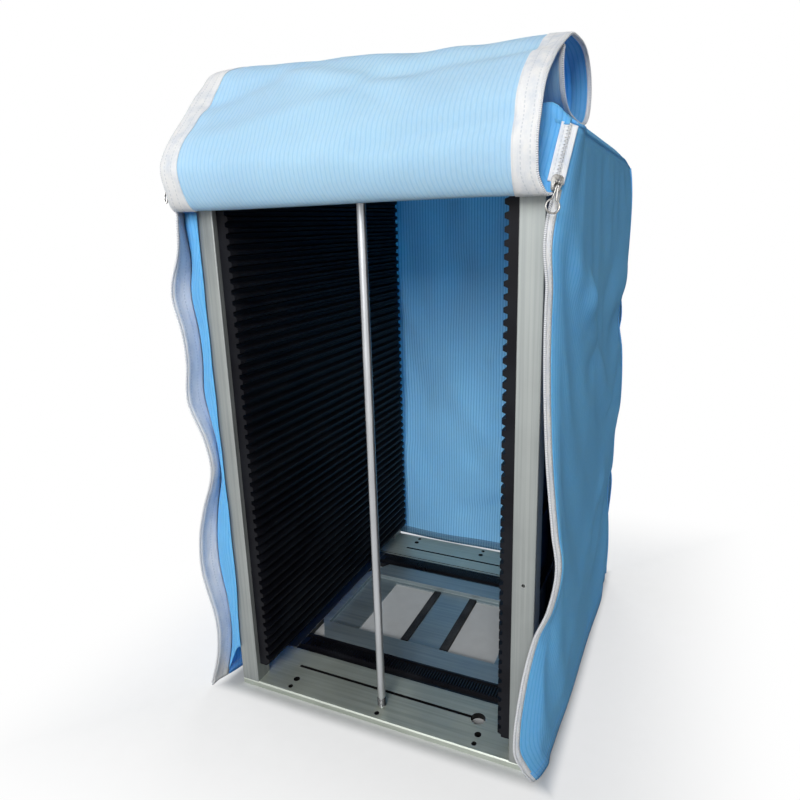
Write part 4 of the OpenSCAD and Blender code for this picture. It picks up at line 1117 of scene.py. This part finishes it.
def zip_pull(name, place):
    """Wire pull: an eye round the pin, a neck and a round ring."""
    path = [place @ Vector((PIN_OUT + EYE_R * math.cos(a), 0, EYE_R * math.sin(a)))
            for a in spread(0, 2 * math.pi, 25)[:-1]]
    eye = tube_piece(f"{name}_pull_eye", path, EYE_WIRE, ZINC, 10, True)
    outline = [(NECK, NECK_TOP), (NECK, NECK_FOOT)]
    for a in spread(RING_OPENING, -RING_OPENING, 33):
        outline.append((RING_R * math.sin(a), -RING_DOWN - RING_R * math.cos(a)))
    outline += [(-NECK, NECK_FOOT), (-NECK, NECK_TOP)]
    path = []
    for (y0, z0), (y1, z1) in zip(outline, outline[1:] + outline[:1]):
        for u in (0, 0.5):
            path.append(place @ Vector((PIN_OUT, (y0 + (y1 - y0) * u) * MM, (z0 + (z1 - z0) * u) * MM)))
    return eye, tube_piece(f"{name}_pull_ring", path, RING_WIRE, ZINC, 10, True)


for name, side, up in (("right", 1, 0.0), ("left", -1, LEFT_ZIP_UP)):
    tape, teeth = zip_closed(name, on_zip(side, up), ZIP_L - up)
    body, pin = zip_slider(name, on_zip(side, up))
    eye, ring = zip_pull(name, on_zip(side, up))
    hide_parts(f"{name}_zip")
    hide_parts(f"{name}_zip_slider")
    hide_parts(f"{name}_zip_pull")
    cover += [tape, teeth]
    for piece in (body, pin):
        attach(piece, f"{name}_slider")
    for piece in (eye, ring):
        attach(piece, f"{name}_pull")

for piece in cover:
    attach(piece, "cover")


# Spring round the rod's foot

def rod_spring():
    low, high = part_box("rod_spring")
    centre = (low + high) / 2
    radius, wire, turns, steps = 3.95 * MM, 0.5 * MM, 6, 28
    path = []
    for k, z in enumerate(spread(low.z + wire, high.z - wire, turns * steps + 1)):
        a = 2 * math.pi * k / steps
        path.append(Vector((centre.x + radius * math.cos(a), centre.y + radius * math.sin(a), z)))
    piece = tube_piece("rod_spring_wire", path, wire, SPRING)
    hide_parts("rod_spring")
    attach(piece, "rack")
    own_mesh(piece)


rod_spring()


# Stage, light and camera

FLOOR = 6
LAMP_SIZE = 1.0
SKY_LIGHT = 0.12

# Lamps: name, place and target in metres, and power in watts
LAMPS = (
    ("key", (0.4, -2.1, 1.4), (0, 0, 0.4), 46),
    ("front", (-0.3, -2.5, 0.6), (0, 0, 0.3), 8),
    ("left", (-1.9, 0.1, 0.7), (-0.1, 0, 0.3), 26),
    ("right", (1.9, -0.6, 0.4), (0.1, 0, 0.3), 3.5),
    ("rear", (-0.6, 1.8, 1.0), (0, 0, 0.25), 28),
)


def stage():
    mesh = bpy.data.meshes.new("floor")
    corners = [(x * FLOOR, y * FLOOR, 0) for x, y in ((-1, -1), (1, -1), (1, 1), (-1, 1))]
    mesh.from_pydata(corners, [], [(0, 1, 2, 3)])
    floor = new_object("floor", mesh)
    look = Look("floor", Roughness=0.9, Specular_IOR_Level=0.1)
    grain = look.noise(look.place((60, 60, 60)), 4.0)
    pale = look.mix(grain, (0.50, 0.51, 0.51, 1), (0.60, 0.61, 0.61, 1))
    seen = look.seen()
    look.set(Base_Color=look.mix(seen, (0.3, 0.3, 0.3, 1), pale))
    spot = look.node("SeparateXYZ", {0: look.place()})
    sides = [
        look.math("DIVIDE", look.math("ABSOLUTE", spot.outputs[k]), size)
        for k, size in ((0, COVER_X), (1, -COVER_FRONT))
    ]
    reach = look.math("MAXIMUM", sides[0], sides[1])
    near, far = look.between(reach, 0.97, 1.06, 0.0, 0.65), look.between(reach, 1.06, 2.2, 0.0, 0.35)
    share = look.times(seen, look.math("ADD", near, far))
    glow = look.node("Emission", {0: (1, 1, 1, 1), 1: 1.0}).outputs[0]
    mixed = look.node("MixShader", {0: share, 1: look.shader.outputs[0], 2: glow}).outputs[0]
    look.put(mixed, look.tree.nodes["Material Output"].inputs[0])
    mesh.materials.append(look.material)

    world = bpy.data.worlds.new("studio")
    bpy.context.scene.world = world
    sky = Nodes(world)
    back = sky.tree.nodes["Background"]
    level = sky.node("MapRange", {0: sky.seen(), 3: SKY_LIGHT, 4: 1.0})
    sky.put(level.outputs[0], back.inputs[1])
    back.inputs[0].default_value = (1, 1, 1, 1)

    for name, place, target, power in LAMPS:
        lamp = bpy.data.lights.new(name, "AREA")
        lamp.size = LAMP_SIZE
        lamp.energy = power
        light = new_object(name, lamp)
        light.location = place
        light.rotation_mode = "QUATERNION"
        light.rotation_quaternion = (Vector(target) - Vector(place)).to_track_quat("-Z", "Y")


def camera():
    data = bpy.data.cameras.new("camera")
    data.sensor_width = 36
    data.lens = 28.05
    data.shift_x = -0.0526
    data.shift_y = -0.0224
    data.clip_start, data.clip_end = 0.01, 50
    place = Vector((0.26355, -0.63042, 0.4894))
    yaw, pitch, roll = -0.3877, 0.2557, -0.0113
    ahead = Vector((math.sin(yaw) * math.cos(pitch), math.cos(yaw) * math.cos(pitch), -math.sin(pitch)))
    right = Vector((math.cos(yaw), -math.sin(yaw), 0))
    up = right.cross(ahead)
    side = right * math.cos(roll) + up * math.sin(roll)
    over = up * math.cos(roll) - right * math.sin(roll)
    turn = Matrix((side, over, -ahead)).transposed()
    cam = new_object("camera", data)
    cam.matrix_world = Matrix.Translation(place) @ turn.to_4x4()
    bpy.context.scene.camera = cam


stage()
camera()
bpy.context.scene.view_settings.view_transform = "Standard"
